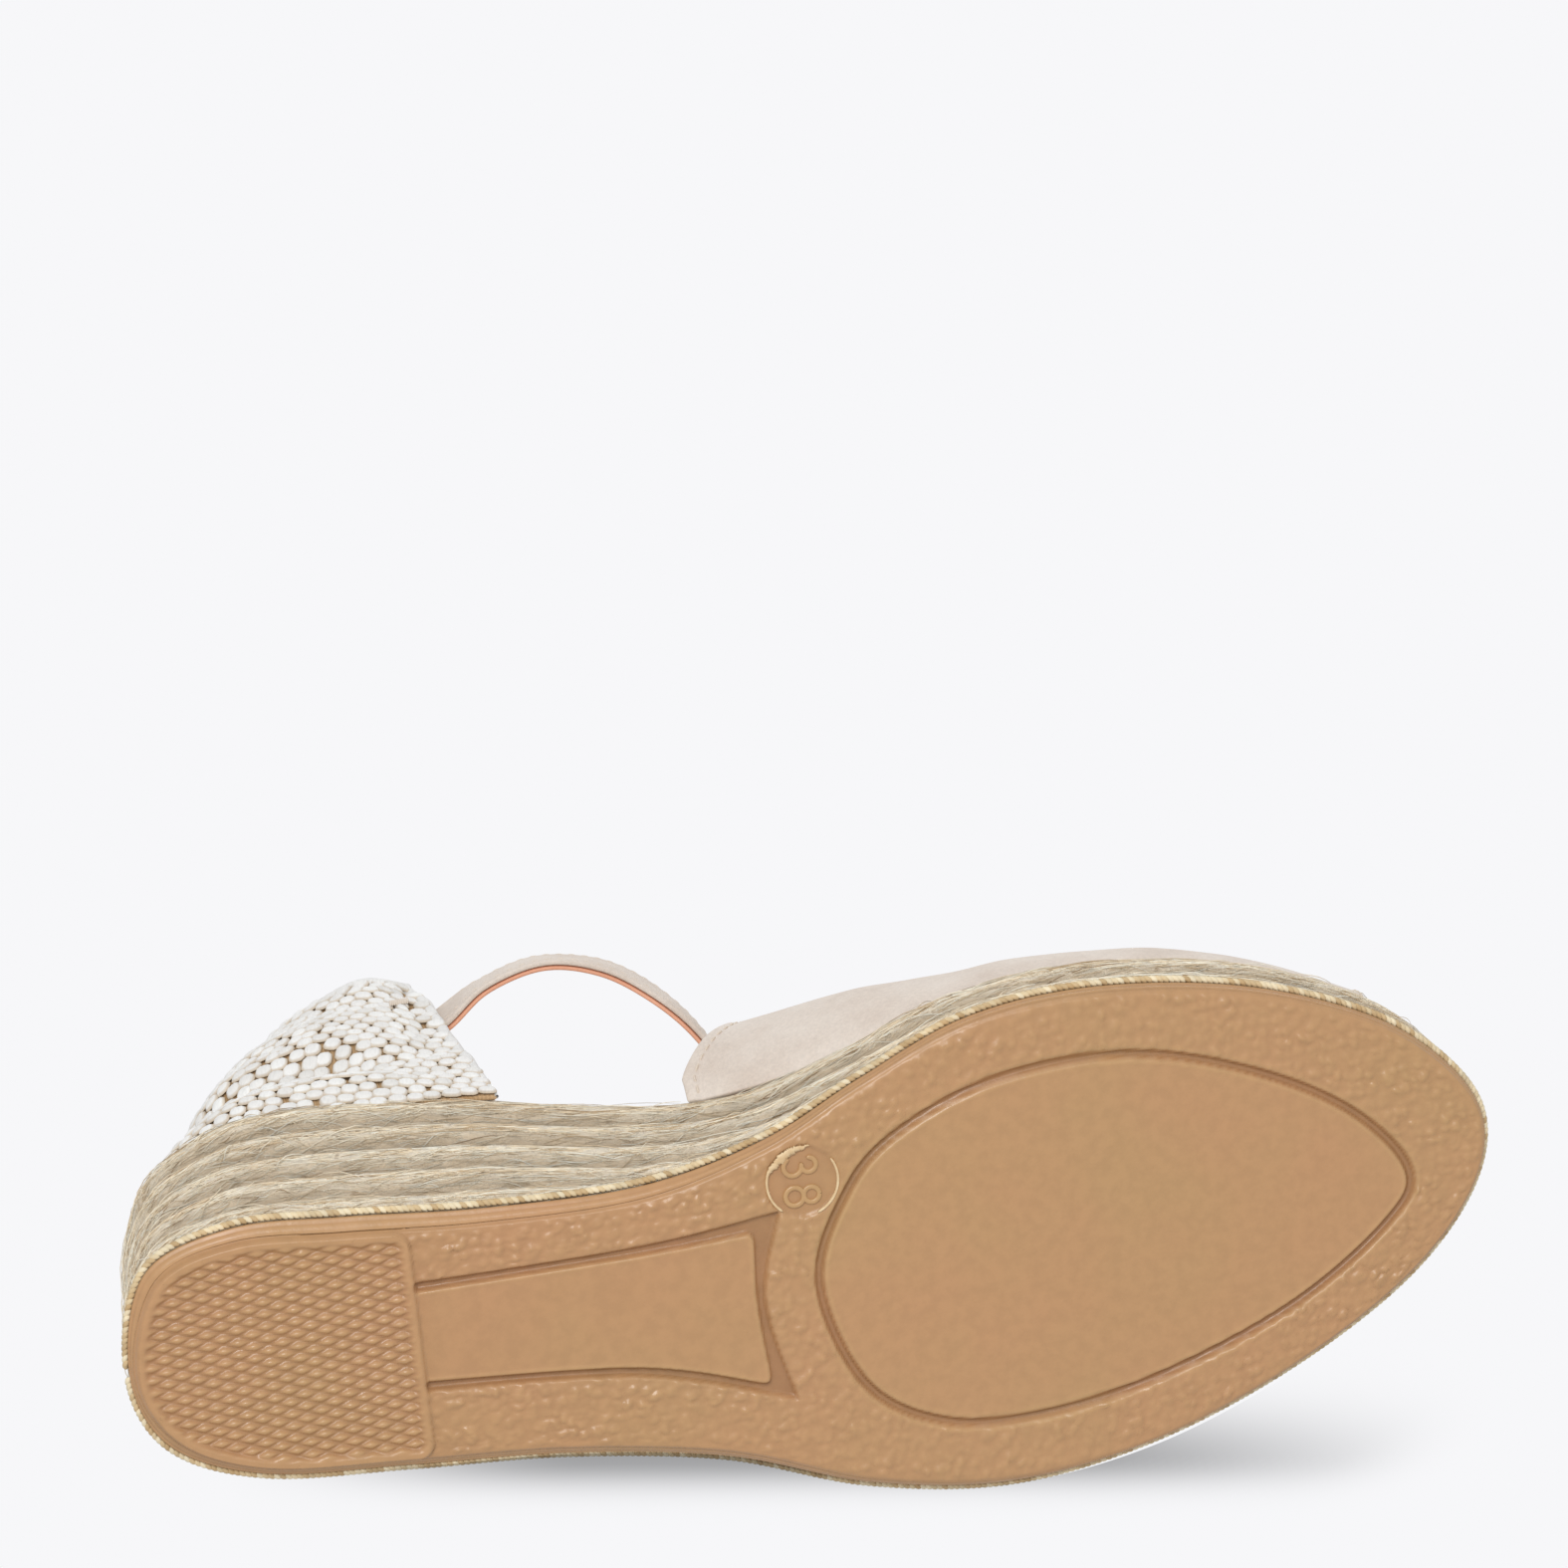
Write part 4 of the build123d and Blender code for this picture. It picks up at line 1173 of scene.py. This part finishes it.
def woven_floats(grid, normals, material):
    """White floats of yarn in staggered lines over the counter."""
    dice = np.random.default_rng(77)
    shape, shape_faces, middle = pillow()
    pitch_along, pitch_up = 3.40, 2.55
    height = run_length(grid[:, grid.shape[1] // 2])[-1]
    line_count = int(height / pitch_up)
    parts = []
    for line in range(line_count):
        level = (line + 0.5) / line_count * (grid.shape[0] - 1)
        low, part = int(level), level - int(level)
        row = (1 - part) * grid[low] + part * grid[min(low + 1, len(grid) - 1)]
        row_normals = unit((1 - part) * normals[low] + part * normals[min(low + 1, len(grid) - 1)])
        next_row = grid[min(low + 2, len(grid) - 1)]
        distance = run_length(row)
        spots = np.arange(0.4 + (line % 2) * pitch_along / 2, distance[-1], pitch_along)
        for spot in spots:
            column = int(np.searchsorted(distance, spot).clip(1, len(row) - 2))
            centre = row[column] + (row[column + 1] - row[column]) * 0.2 * dice.uniform(-1, 1)
            normal = row_normals[column]
            along = unit(row[column + 1] - row[column - 1])
            up = unit(next_row[column] - row[column]) if low + 2 < len(grid) else np.cross(along, normal)
            turn = dice.normal(0.22, 0.10)
            first = along * math.cos(turn) + up * math.sin(turn)
            second = -along * math.sin(turn) + up * math.cos(turn)
            pitch = np.linalg.norm(grid[low + 1, column] - grid[low, column]) * (len(grid) - 1) / line_count
            width = 1.8 * dice.uniform(0.93, 1.05)
            tall = 0.565 * min(pitch, 3.6) * dice.uniform(0.92, 1.08)
            proud = 0.85 * dice.uniform(0.85, 1.15)
            points = centre + shape[:, :1] * width * first + shape[:, 1:2] * tall * second
            points = points + (shape[:, 2:] * proud - 0.12) * normal
            flow = np.column_stack([shape[:, 0] + 7 * line, middle, np.full(len(shape), dice.uniform())])
            parts.append((points, shape_faces, flow))
    return add_parts("counter_floats", parts, material, "woven_cloth")


def edge_roll(name, path, normals, radius, material, slot):
    """A soft rolled hem along an edge."""
    taper = np.sqrt(np.clip(np.sin(np.linspace(0.02, math.pi - 0.02, len(path))) * 4, 0.05, 1))
    points, faces = tubes(path[None], normals[None], (radius * taper)[None], sides=12)
    flow = np.column_stack(
        [np.repeat(run_length(path), 12), np.full(len(points), 0.8), np.full(len(points), 0.7)]
    )
    return add_piece(name, points, faces, material, slot, flow=flow)


def counter(yarn_look, tan_look, lining_look):
    """The woven heel counter: tan ground cloth, white floats, a rolled hem and a cotton lining."""
    grid = counter_grid(70, 150)
    grid = slump(grid, surface_normals(grid))
    normals = surface_normals(grid)
    cloth = lined_sheet(
        "counter_ground_cloth", grid, normals, -0.55, 1.0, tan_look, "woven_cloth", ["counter_outer"])
    lining = lined_sheet(
        "counter_lining_cloth", grid, normals, -1.9, 0.8, lining_look, "lining_cloth", ["counter_lining"])
    floats = woven_floats(grid, normals, yarn_look)
    rim = np.concatenate([grid[:, 0], grid[-1, 1:], grid[::-1, -1][1:]])
    rim_normals = np.concatenate([normals[:, 0], normals[-1, 1:], normals[::-1, -1][1:]])
    hem = edge_roll("counter_hem", rim - rim_normals * 0.9, rim_normals, 1.25, yarn_look, "woven_cloth")


# ---------------------------------------------------------------- straps and insole

def strap_middle(x):
    """Height of the middle of the strap at x: level at the ankle, lower in front."""
    part = np.clip((x - 98.0) / 26.0, 0, 1)
    return STRAP_HEIGHT - (STRAP_HEIGHT - STRAP_FRONT_HEIGHT) * part ** 2 * (3 - 2 * part)


def strap_frames(path, count, first, last):
    """Points, outward directions and half widths along a strap; its tacked end is round."""
    places = evenly(lambda p: smooth(path, p, closed=False), first, last, count)
    points = smooth(path, places, closed=False)
    along = unit(np.gradient(points, axis=0))
    outward = outward_of(along)
    centre = np.column_stack([points, strap_middle(points[:, 0])])
    distance = run_length(centre)
    half = np.full(count, STRAP_HALF)
    start = np.clip(distance, 0, STRAP_HALF)
    half = np.minimum(half, np.sqrt(np.clip(STRAP_HALF ** 2 - (STRAP_HALF - start) ** 2, 0.5, None)))
    left = np.clip(distance[-1] - distance, 0, 3.0)
    half = np.minimum(half, STRAP_HALF - 3.0 + np.sqrt(np.clip(9 - (3.0 - left) ** 2, 0.3, None)))
    return centre, np.column_stack([outward, np.zeros(count)]), half, distance


def strap_lean(centre):
    """How much the strap's lower edge stands out on the inner side of the ankle, per millimetre of its
    width."""
    return 0.15 * soft_step(108, 88, centre[:, 0]) * soft_step(68, 78, centre[:, 0]) * (centre[:, 1] < 0)


def strap_band(name, path, first, last, near, far, flip, material, slot, replaces, count=240):
    """A flat band with soft edges along a path, between two distances outside it."""
    centre, outward, half, distance = strap_frames(path, count, first, last)
    side = -1.0 if flip else 1.0
    thick = (far - near) / 2
    middle = (far + near) / 2
    section = []
    for angle in np.linspace(0, 2 * math.pi, 28, endpoint=False):
        c, s = math.cos(angle), math.sin(angle)
        section.append((math.copysign(abs(c) ** 0.22, c), math.copysign(abs(s) ** 0.5, s)))
    lines = []
    for across, proud in section:
        level = half * across
        pillow_out = 0.18 * (1 - across ** 2) * (proud > 0)
        offset = middle + thick * proud + pillow_out
        line = centre + outward * (side * offset - strap_lean(centre) * level)[:, None]
        line[:, 2] += level
        lines.append(line)
    grid = np.stack(lines, 1)
    count_along, around = grid.shape[:2]
    faces = [tuple(face) for face in grid_faces(count_along, around, around=True).tolist()]
    faces += [tuple(range(around))[::-1], tuple(range((count_along - 1) * around, count_along * around))]
    flow = np.zeros(grid.shape)
    flow[..., 0] = distance[:, None]
    return add_piece(name, grid, faces, material, slot, flow, body="ankle_strap", replaces=replaces)


def punch(piece, centre, size):
    """Cuts a slot right through a strap; size is its length along X and its height."""
    length, tall = size
    angles = np.linspace(0, 2 * math.pi, 32, endpoint=False)
    shift = max(length - tall, 0) / 2
    rim_x = tall / 2 * np.cos(angles) + np.sign(np.cos(angles)) * shift
    rim_z = tall / 2 * np.sin(angles)
    near = np.column_stack([centre[0] + rim_x, np.full(32, centre[1] - 4.0), centre[2] + rim_z])
    far = near + np.array([0, 8.0, 0])
    faces = [(i, (i + 1) % 32, 32 + (i + 1) % 32, 32 + i) for i in range(32)]
    faces += [tuple(range(32))[::-1], tuple(range(32, 64))]
    cutter = new_object("punch", np.concatenate([near, far]), faces)
    use_modifier(piece, "BOOLEAN", operation="DIFFERENCE", object=cutter, solver="EXACT")
    bpy.data.objects.remove(cutter)


def strap_stitches(material):
    """Two rows of stitches along the strap's face, left out under the buckle."""
    parts = []
    centre, outward, _, _ = strap_frames(LONG_STRAP, 400, 2.0, 11.6)
    for edge in (-1, 1):
        path = centre + outward * (STRAP_LEATHER - 0.02)
        path -= outward * (strap_lean(centre) * edge * (STRAP_HALF - 1.5))[:, None]
        path[:, 2] += edge * (STRAP_HALF - 1.5)
        parts.append(stitches(path, outward, pitch=2.5, length=1.9, radius=0.13))
    return add_parts("strap_stitches", parts, material, "thread", body="ankle_strap", replaces=["strap_seam"])


def straps(suede_look, lining_look, thread_look):
    """The long strap, the short buckle strap, their linings and the stitching."""
    gap = 0.05
    # Both bands start 0.4 of the way from their path's first point to its second, behind the pivot.
    face = strap_band(
        "strap_suede", LONG_STRAP, 0.4, 15.0, 0.0, STRAP_LEATHER, False, suede_look, "suede", ["strap_outer"])
    back = strap_band(
        "strap_lining_leather", LONG_STRAP, 0.4, 15.0, -gap - STRAP_LINING, -gap, False, lining_look,
        "lining_leather", ["strap_lining"])
    for piece in (face, back):
        punch(piece, (89.0, 32.4, STRAP_HEIGHT), (9.4, 2.6))
        punch(piece, (80.1, 32.4, STRAP_HEIGHT), (2.4, 2.4))
    half = STRAP_LEATHER / 2
    strap_band(
        "buckle_strap_suede", SHORT_STRAP, 0.4, 5.0, -half, half, True, suede_look, "suede",
        ["buckle_strap_outer"], count=90)
    strap_band(
        "buckle_strap_lining_leather", SHORT_STRAP, 0.4, 4.75, -half - gap - STRAP_LINING, -half - gap, True,
        lining_look, "lining_leather", ["buckle_strap_lining"], count=90)
    strap_stitches(thread_look)
    fold_over_bar(suede_look)


def fold_over_bar(material):
    """The end of the buckle strap, folded round the buckle's hinge bar above and below the prong."""
    parts = []
    for low, high in ((-5.9, -1.9), (1.9, 5.9)):
        levels = np.linspace(low, high, 10)
        angles = np.linspace(0, 2 * math.pi, 30, endpoint=False)
        shrink = np.sqrt(np.clip(1 - ((levels - (low + high) / 2) / ((high - low) / 2)) ** 8, 0.25, 1))
        ring = []
        for level, size in zip(levels, shrink):
            radius = 1.02 + 0.88 * size
            x = 84.0 + radius * np.cos(angles)
            y = 29.2 + radius * np.sin(angles)
            ring.append(np.column_stack([x, y, np.full(30, STRAP_HEIGHT + level)]))
        points = np.concatenate(ring)
        flow = np.zeros((len(points), 3))
        parts.append((points, grid_faces(10, 30, around=True), flow))
    return add_parts("buckle_strap_fold", parts, material, "suede", body="ankle_strap")


def keeper_loop(material):
    """The suede loop that holds the strap's tail: a soft band bent round a rounded rectangle."""
    half_y, half_z, corner, wall, width = 4.1, 7.1, 1.7, 1.25, 4.0
    quarter = np.linspace(0, math.pi / 2, 9)
    path, outward = [], []
    for number, (side_y, side_z) in enumerate(((1, 1), (-1, 1), (-1, -1), (1, -1))):
        angles = quarter + number * math.pi / 2
        middle = np.array([side_y * (half_y - corner), side_z * (half_z - corner)])
        turned = np.column_stack([np.cos(angles), np.sin(angles)])
        path.append(middle + corner * turned)
        outward.append(turned)
    path, outward = np.concatenate(path), np.concatenate(outward)
    around = np.linspace(0, 2 * math.pi, 20, endpoint=False)
    across = width / 2 * np.sign(np.cos(around)) * np.abs(np.cos(around)) ** 0.35
    proud = wall / 2 * np.sign(np.sin(around)) * np.abs(np.sin(around)) ** 0.5
    flat = path[:, None] + outward[:, None] * proud[None, :, None]
    points = np.zeros((len(path), len(around), 3))
    points[..., 0] = KEEPER_X + across[None]
    points[..., 1] = KEEPER_Y + flat[..., 0]
    points[..., 2] = STRAP_HEIGHT + flat[..., 1]
    closed = np.concatenate([points, points[:1]])
    faces = grid_faces(len(closed), len(around), around=True) % (len(path) * len(around))
    flow = points.reshape(-1, 3)
    return add_piece(
        "keeper_loop", points, faces[:, ::-1], material, "suede", body="keeper", flow=flow,
        replaces=["strap_keeper"])


def tacks(thread_look):
    """A small bar of zigzag stitches over each strap pivot, on the counter's outer faces."""
    parts = []
    for side in (-1, 1):
        y = -31.5 if side < 0 else 28.5
        z = STRAP_HEIGHT + np.linspace(-2.2, 2.2, 8)
        for turn in range(9):
            x = PIVOT_X - 1.6 + 0.4 * turn
            path = np.column_stack([np.full(8, x), np.full(8, y + side * 0.35), z])
            normals = np.tile([0.0, side, 0.0], (8, 1))
            parts.append(stitches(path, normals, pitch=0.3, length=4.0, radius=0.28, lean=0.35))
    return add_parts("strap_bar_tacks", parts, thread_look, "thread", replaces=["strap_tacks"])


def footbed_edge(places, inset):
    """The outline of the pieces under the foot, a distance inside the seat."""
    return smooth(SEAT, places) - outward_of(line_ahead(SEAT, places)) * inset


def footbed(inset, below, rows, columns):
    """Points over the surface the foot stands on, dished under heel and ball, or that far below it."""
    def curve(places):
        return footbed_edge(places, inset)

    grid = patch(curve, rows, columns)[0]
    x, y = grid[..., 0], grid[..., 1]
    edge = distance_to(x, y, curve(np.linspace(0, TURN, 300)))
    z = top_height(x) + SOCK_PROUD - below - 0.9 * soft_step(1.2, 0.0, edge) ** 2
    for centre_x, centre_y, size_x, size_y, deep in ((28, 1, 20, 16, 1.0), (180, 0, 30, 30, 0.8)):
        hollow = np.exp(-((x - centre_x) / size_x) ** 2 - ((y - centre_y) / size_y) ** 2)
        z = z - deep * hollow * soft_step(2, 9, edge)
    z = z + 0.08 * waves(x, y, 18, 12, 61)
    return np.stack([x, y, z], -1)


def sock(material, thread_look):
    """The leather sock the foot stands on, with a row of stitches near its edge."""
    points = footbed(6.7, 0.0, 260, 90)
    piece = add_piece(
        "sock_leather", points, grid_faces(260, 90), material, "lining_leather",
        flow=points.reshape(-1, 3), replaces=["sock_lining"])
    use_modifier(piece, "SOLIDIFY", thickness=0.0011, offset=-1.0)
    line = footbed_edge(np.linspace(0, TURN, 500), 9.0)
    path = np.column_stack([line, top_height(line[:, 0]) + SOCK_PROUD + 0.02])
    up = np.tile([0.0, 0.0, 1.0], (len(path), 1))
    seam = [stitches(path, up, pitch=2.8, length=2.1, radius=0.2)]
    add_parts("sock_stitches", seam, thread_look, "thread")


def foam_pad(material):
    """The latex foam under the sock, with the sock's dished top."""
    points = footbed(7.4, SOCK_THICK + 0.1, 130, 46)
    pad = add_piece(
        "foam_pad", points, grid_faces(130, 46), material, "foam",
        flow=points.reshape(-1, 3), replaces=["insole_foam"])
    use_modifier(pad, "SOLIDIFY", thickness=FOAM_THICK / 1000, offset=-1.0)


# ---------------------------------------------------------------- stage

def stage_floor():
    """The pale floor that upright views stand on; from below, where the photograph looks from, it isn't
    there."""
    size = 4000.0
    corners = np.array([(-size, -size, 0), (size, -size, 0), (size, size, 0), (-size, size, 0)]) - ORIGIN
    floor = new_object("floor", corners, [(0, 1, 2, 3)])
    look = bpy.data.materials.new("pale_floor")
    look.use_nodes = True
    nodes, links = look.node_tree.nodes, look.node_tree.links
    shader = nodes["Principled BSDF"]
    shader.inputs["Base Color"].default_value = paint(236, 236, 238)
    shader.inputs["Roughness"].default_value = 0.9
    clear = nodes.new("ShaderNodeBsdfTransparent")
    side = nodes.new("ShaderNodeNewGeometry")
    blend = nodes.new("ShaderNodeMixShader")
    links.new(side.outputs["Backfacing"], blend.inputs[0])
    links.new(shader.outputs[0], blend.inputs[1])
    links.new(clear.outputs[0], blend.inputs[2])
    links.new(blend.outputs[0], nodes["Material Output"].inputs["Surface"])
    floor.data.materials.append(look)
    place_stage(floor)


def place_stage(thing):
    """Makes a stage piece show itself but change nothing's light."""
    thing.visible_shadow = False
    thing.visible_diffuse = False
    thing.visible_glossy = False
    thing.visible_transmission = False


def contact_shadow():
    """The soft shadow beside the sandal's outer side, on which it lies in the main view. It is a sheet
    just below
    the ground, darker near the sole, so upright views never see it."""
    places = np.linspace(13.2, TURN - 0.1, 160)
    edge = smooth(TREAD, places)
    outward = outward_of(line_ahead(TREAD, places))
    reach = np.linspace(0, 34, 35)[:, None, None]
    spread = edge[None] + outward[None] * reach
    x, y = spread[..., 0], spread[..., 1]
    below = y - (40.0 + 0.165 * (x - 150.0))
    soft = np.exp(-(below / np.where(below > 0, 5.0, 9.0)) ** 2)
    dark = 0.62 * soft * soft_step(8, 75, x) * soft_step(244, 150, x) * soft_step(
        34, 18, np.broadcast_to(reach[..., 0], x.shape)
    )
    sheet = new_object("contact_shadow", np.stack([x, y, np.full(x.shape, -1.5)], -1), grid_faces(*x.shape))
    layer = sheet.data.attributes.new("dark", "FLOAT", "POINT")
    layer.data.foreach_set("value", dark.astype(np.float32).ravel())
    look = Look("contact_shadow", base_color=paint(20, 20, 22), roughness=1.0, specular_ior_level=0.0)
    source = look.add("ShaderNodeAttribute", attribute_name="dark").outputs["Fac"]
    look.tree.links.new(source, look.shader.inputs["Alpha"])
    sheet.data.materials.append(look.material)
    place_stage(sheet)


def soft_light(name, place, towards, size, power, colour=(1, 1, 1)):
    """A square soft box."""
    lamp = bpy.data.lights.new(name, "AREA")
    lamp.size = size
    lamp.energy = power
    lamp.color = colour
    thing = bpy.data.objects.new(name, lamp)
    bpy.context.scene.collection.objects.link(thing)
    thing.location = place
    thing.rotation_euler = (Vector(towards) - Vector(place)).to_track_quat("-Z", "Y").to_euler()


def world_light():
    """A white room: bright behind the sandal and softer as a light on it."""
    world = bpy.data.worlds.new("white_room")
    world.use_nodes = True
    bpy.context.scene.world = world
    nodes, links = world.node_tree.nodes, world.node_tree.links
    lit = nodes["Background"]
    lit.inputs[0].default_value = (1.0, 1.0, 1.0, 1)
    lit.inputs[1].default_value = 0.66
    seen = nodes.new("ShaderNodeBackground")
    seen.inputs[0].default_value = paint(247, 247, 249)
    path = nodes.new("ShaderNodeLightPath")
    blend = nodes.new("ShaderNodeMixShader")
    links.new(path.outputs["Is Camera Ray"], blend.inputs[0])
    links.new(lit.outputs[0], blend.inputs[1])
    links.new(seen.outputs[0], blend.inputs[2])
    links.new(blend.outputs[0], nodes["World Output"].inputs["Surface"])


def camera():
    """The photograph's view: from under the sole, a little from the heel and the inner side, rolled 8
    degrees."""
    back = Vector((-math.tan(math.radians(9.0)), -math.tan(math.radians(12.7)), -1.0)).normalized()
    up = Vector((0, -1, 0))
    up = (up - up.dot(back) * back).normalized()
    right = up.cross(back)
    turn = math.radians(8.05) - math.atan2(up.x, right.x)
    rolled_right = right * math.cos(turn) - up * math.sin(turn)
    rolled_up = right * math.sin(turn) + up * math.cos(turn)
    lens = bpy.data.cameras.new("camera")
    lens.lens = 121.4
    lens.clip_start = 0.01
    thing = bpy.data.objects.new("camera", lens)
    bpy.context.scene.collection.objects.link(thing)
    eye = (np.array([-15.8, -281.9, -869.1]) + ORIGIN) / 1000
    thing.matrix_world = Matrix.Translation(eye) @ Matrix(
        (rolled_right, rolled_up, back)
    ).transposed().to_4x4()
    bpy.context.scene.camera = thing


def studio():
    world_light()
    stage_floor()
    contact_shadow()
    soft_light("key_light", (-0.25, -0.65, -0.95), (0, 0, 0.02), 0.45, 7)
    soft_light("top_light", (0.3, -0.5, 1.2), (0, 0, 0.03), 0.9, 5)
    camera()
    scene = bpy.context.scene
    scene.view_settings.view_transform = "Standard"


# ---------------------------------------------------------------- build

def keep_node(name, material):
    """A CAD piece that is shown as it is, with a better surface."""
    node = NODES[name]
    node.data.materials.clear()
    node.data.materials.append(material)
    bevel = node.modifiers.new("soft_edges", "BEVEL")
    bevel.width = 0.0002
    bevel.segments = 2
    bevel.angle_limit = 0.7


def build():
    rubber = gum_rubber()
    braid = jute_braid()
    fibre = jute_fibre()
    suede_look = suede()
    pink_leather = leather("lining_leather_pink", (226, 160, 128), (238, 180, 150))
    sock_leather = leather("sock_leather", (214, 184, 152), (228, 202, 174))
    yarn = cotton_yarn()
    thread = sewing_thread()
    metal = plated_metal()

    rubber_outsole(rubber)
    size_mark(rubber)
    torn_flash(rubber_film())
    rope_round_sole(edge_cord())
    for number in range(1, ROW_COUNT + 1):
        jute_row(number, braid)
        row_fibres(number, fibre)
    vamp(suede_look, pink_leather, thread)
    counter(yarn, tan_cloth(), lining_cloth())
    straps(suede_look, pink_leather, thread)
    keeper_loop(suede_look)
    tacks(thread)
    sock(sock_leather, thread)
    foam_pad(crumbs("latex_foam", (222, 212, 186), (236, 228, 206), 1400))

    keep_node("wedge_core", crumbs("cork", (150, 108, 70), (190, 148, 104), 420))
    keep_node("insole_board", crumbs("fibre_board", (140, 112, 84), (170, 142, 110), 900))
    keep_node("buckle_frame", metal)
    keep_node("buckle_prong", metal)


build()
studio()
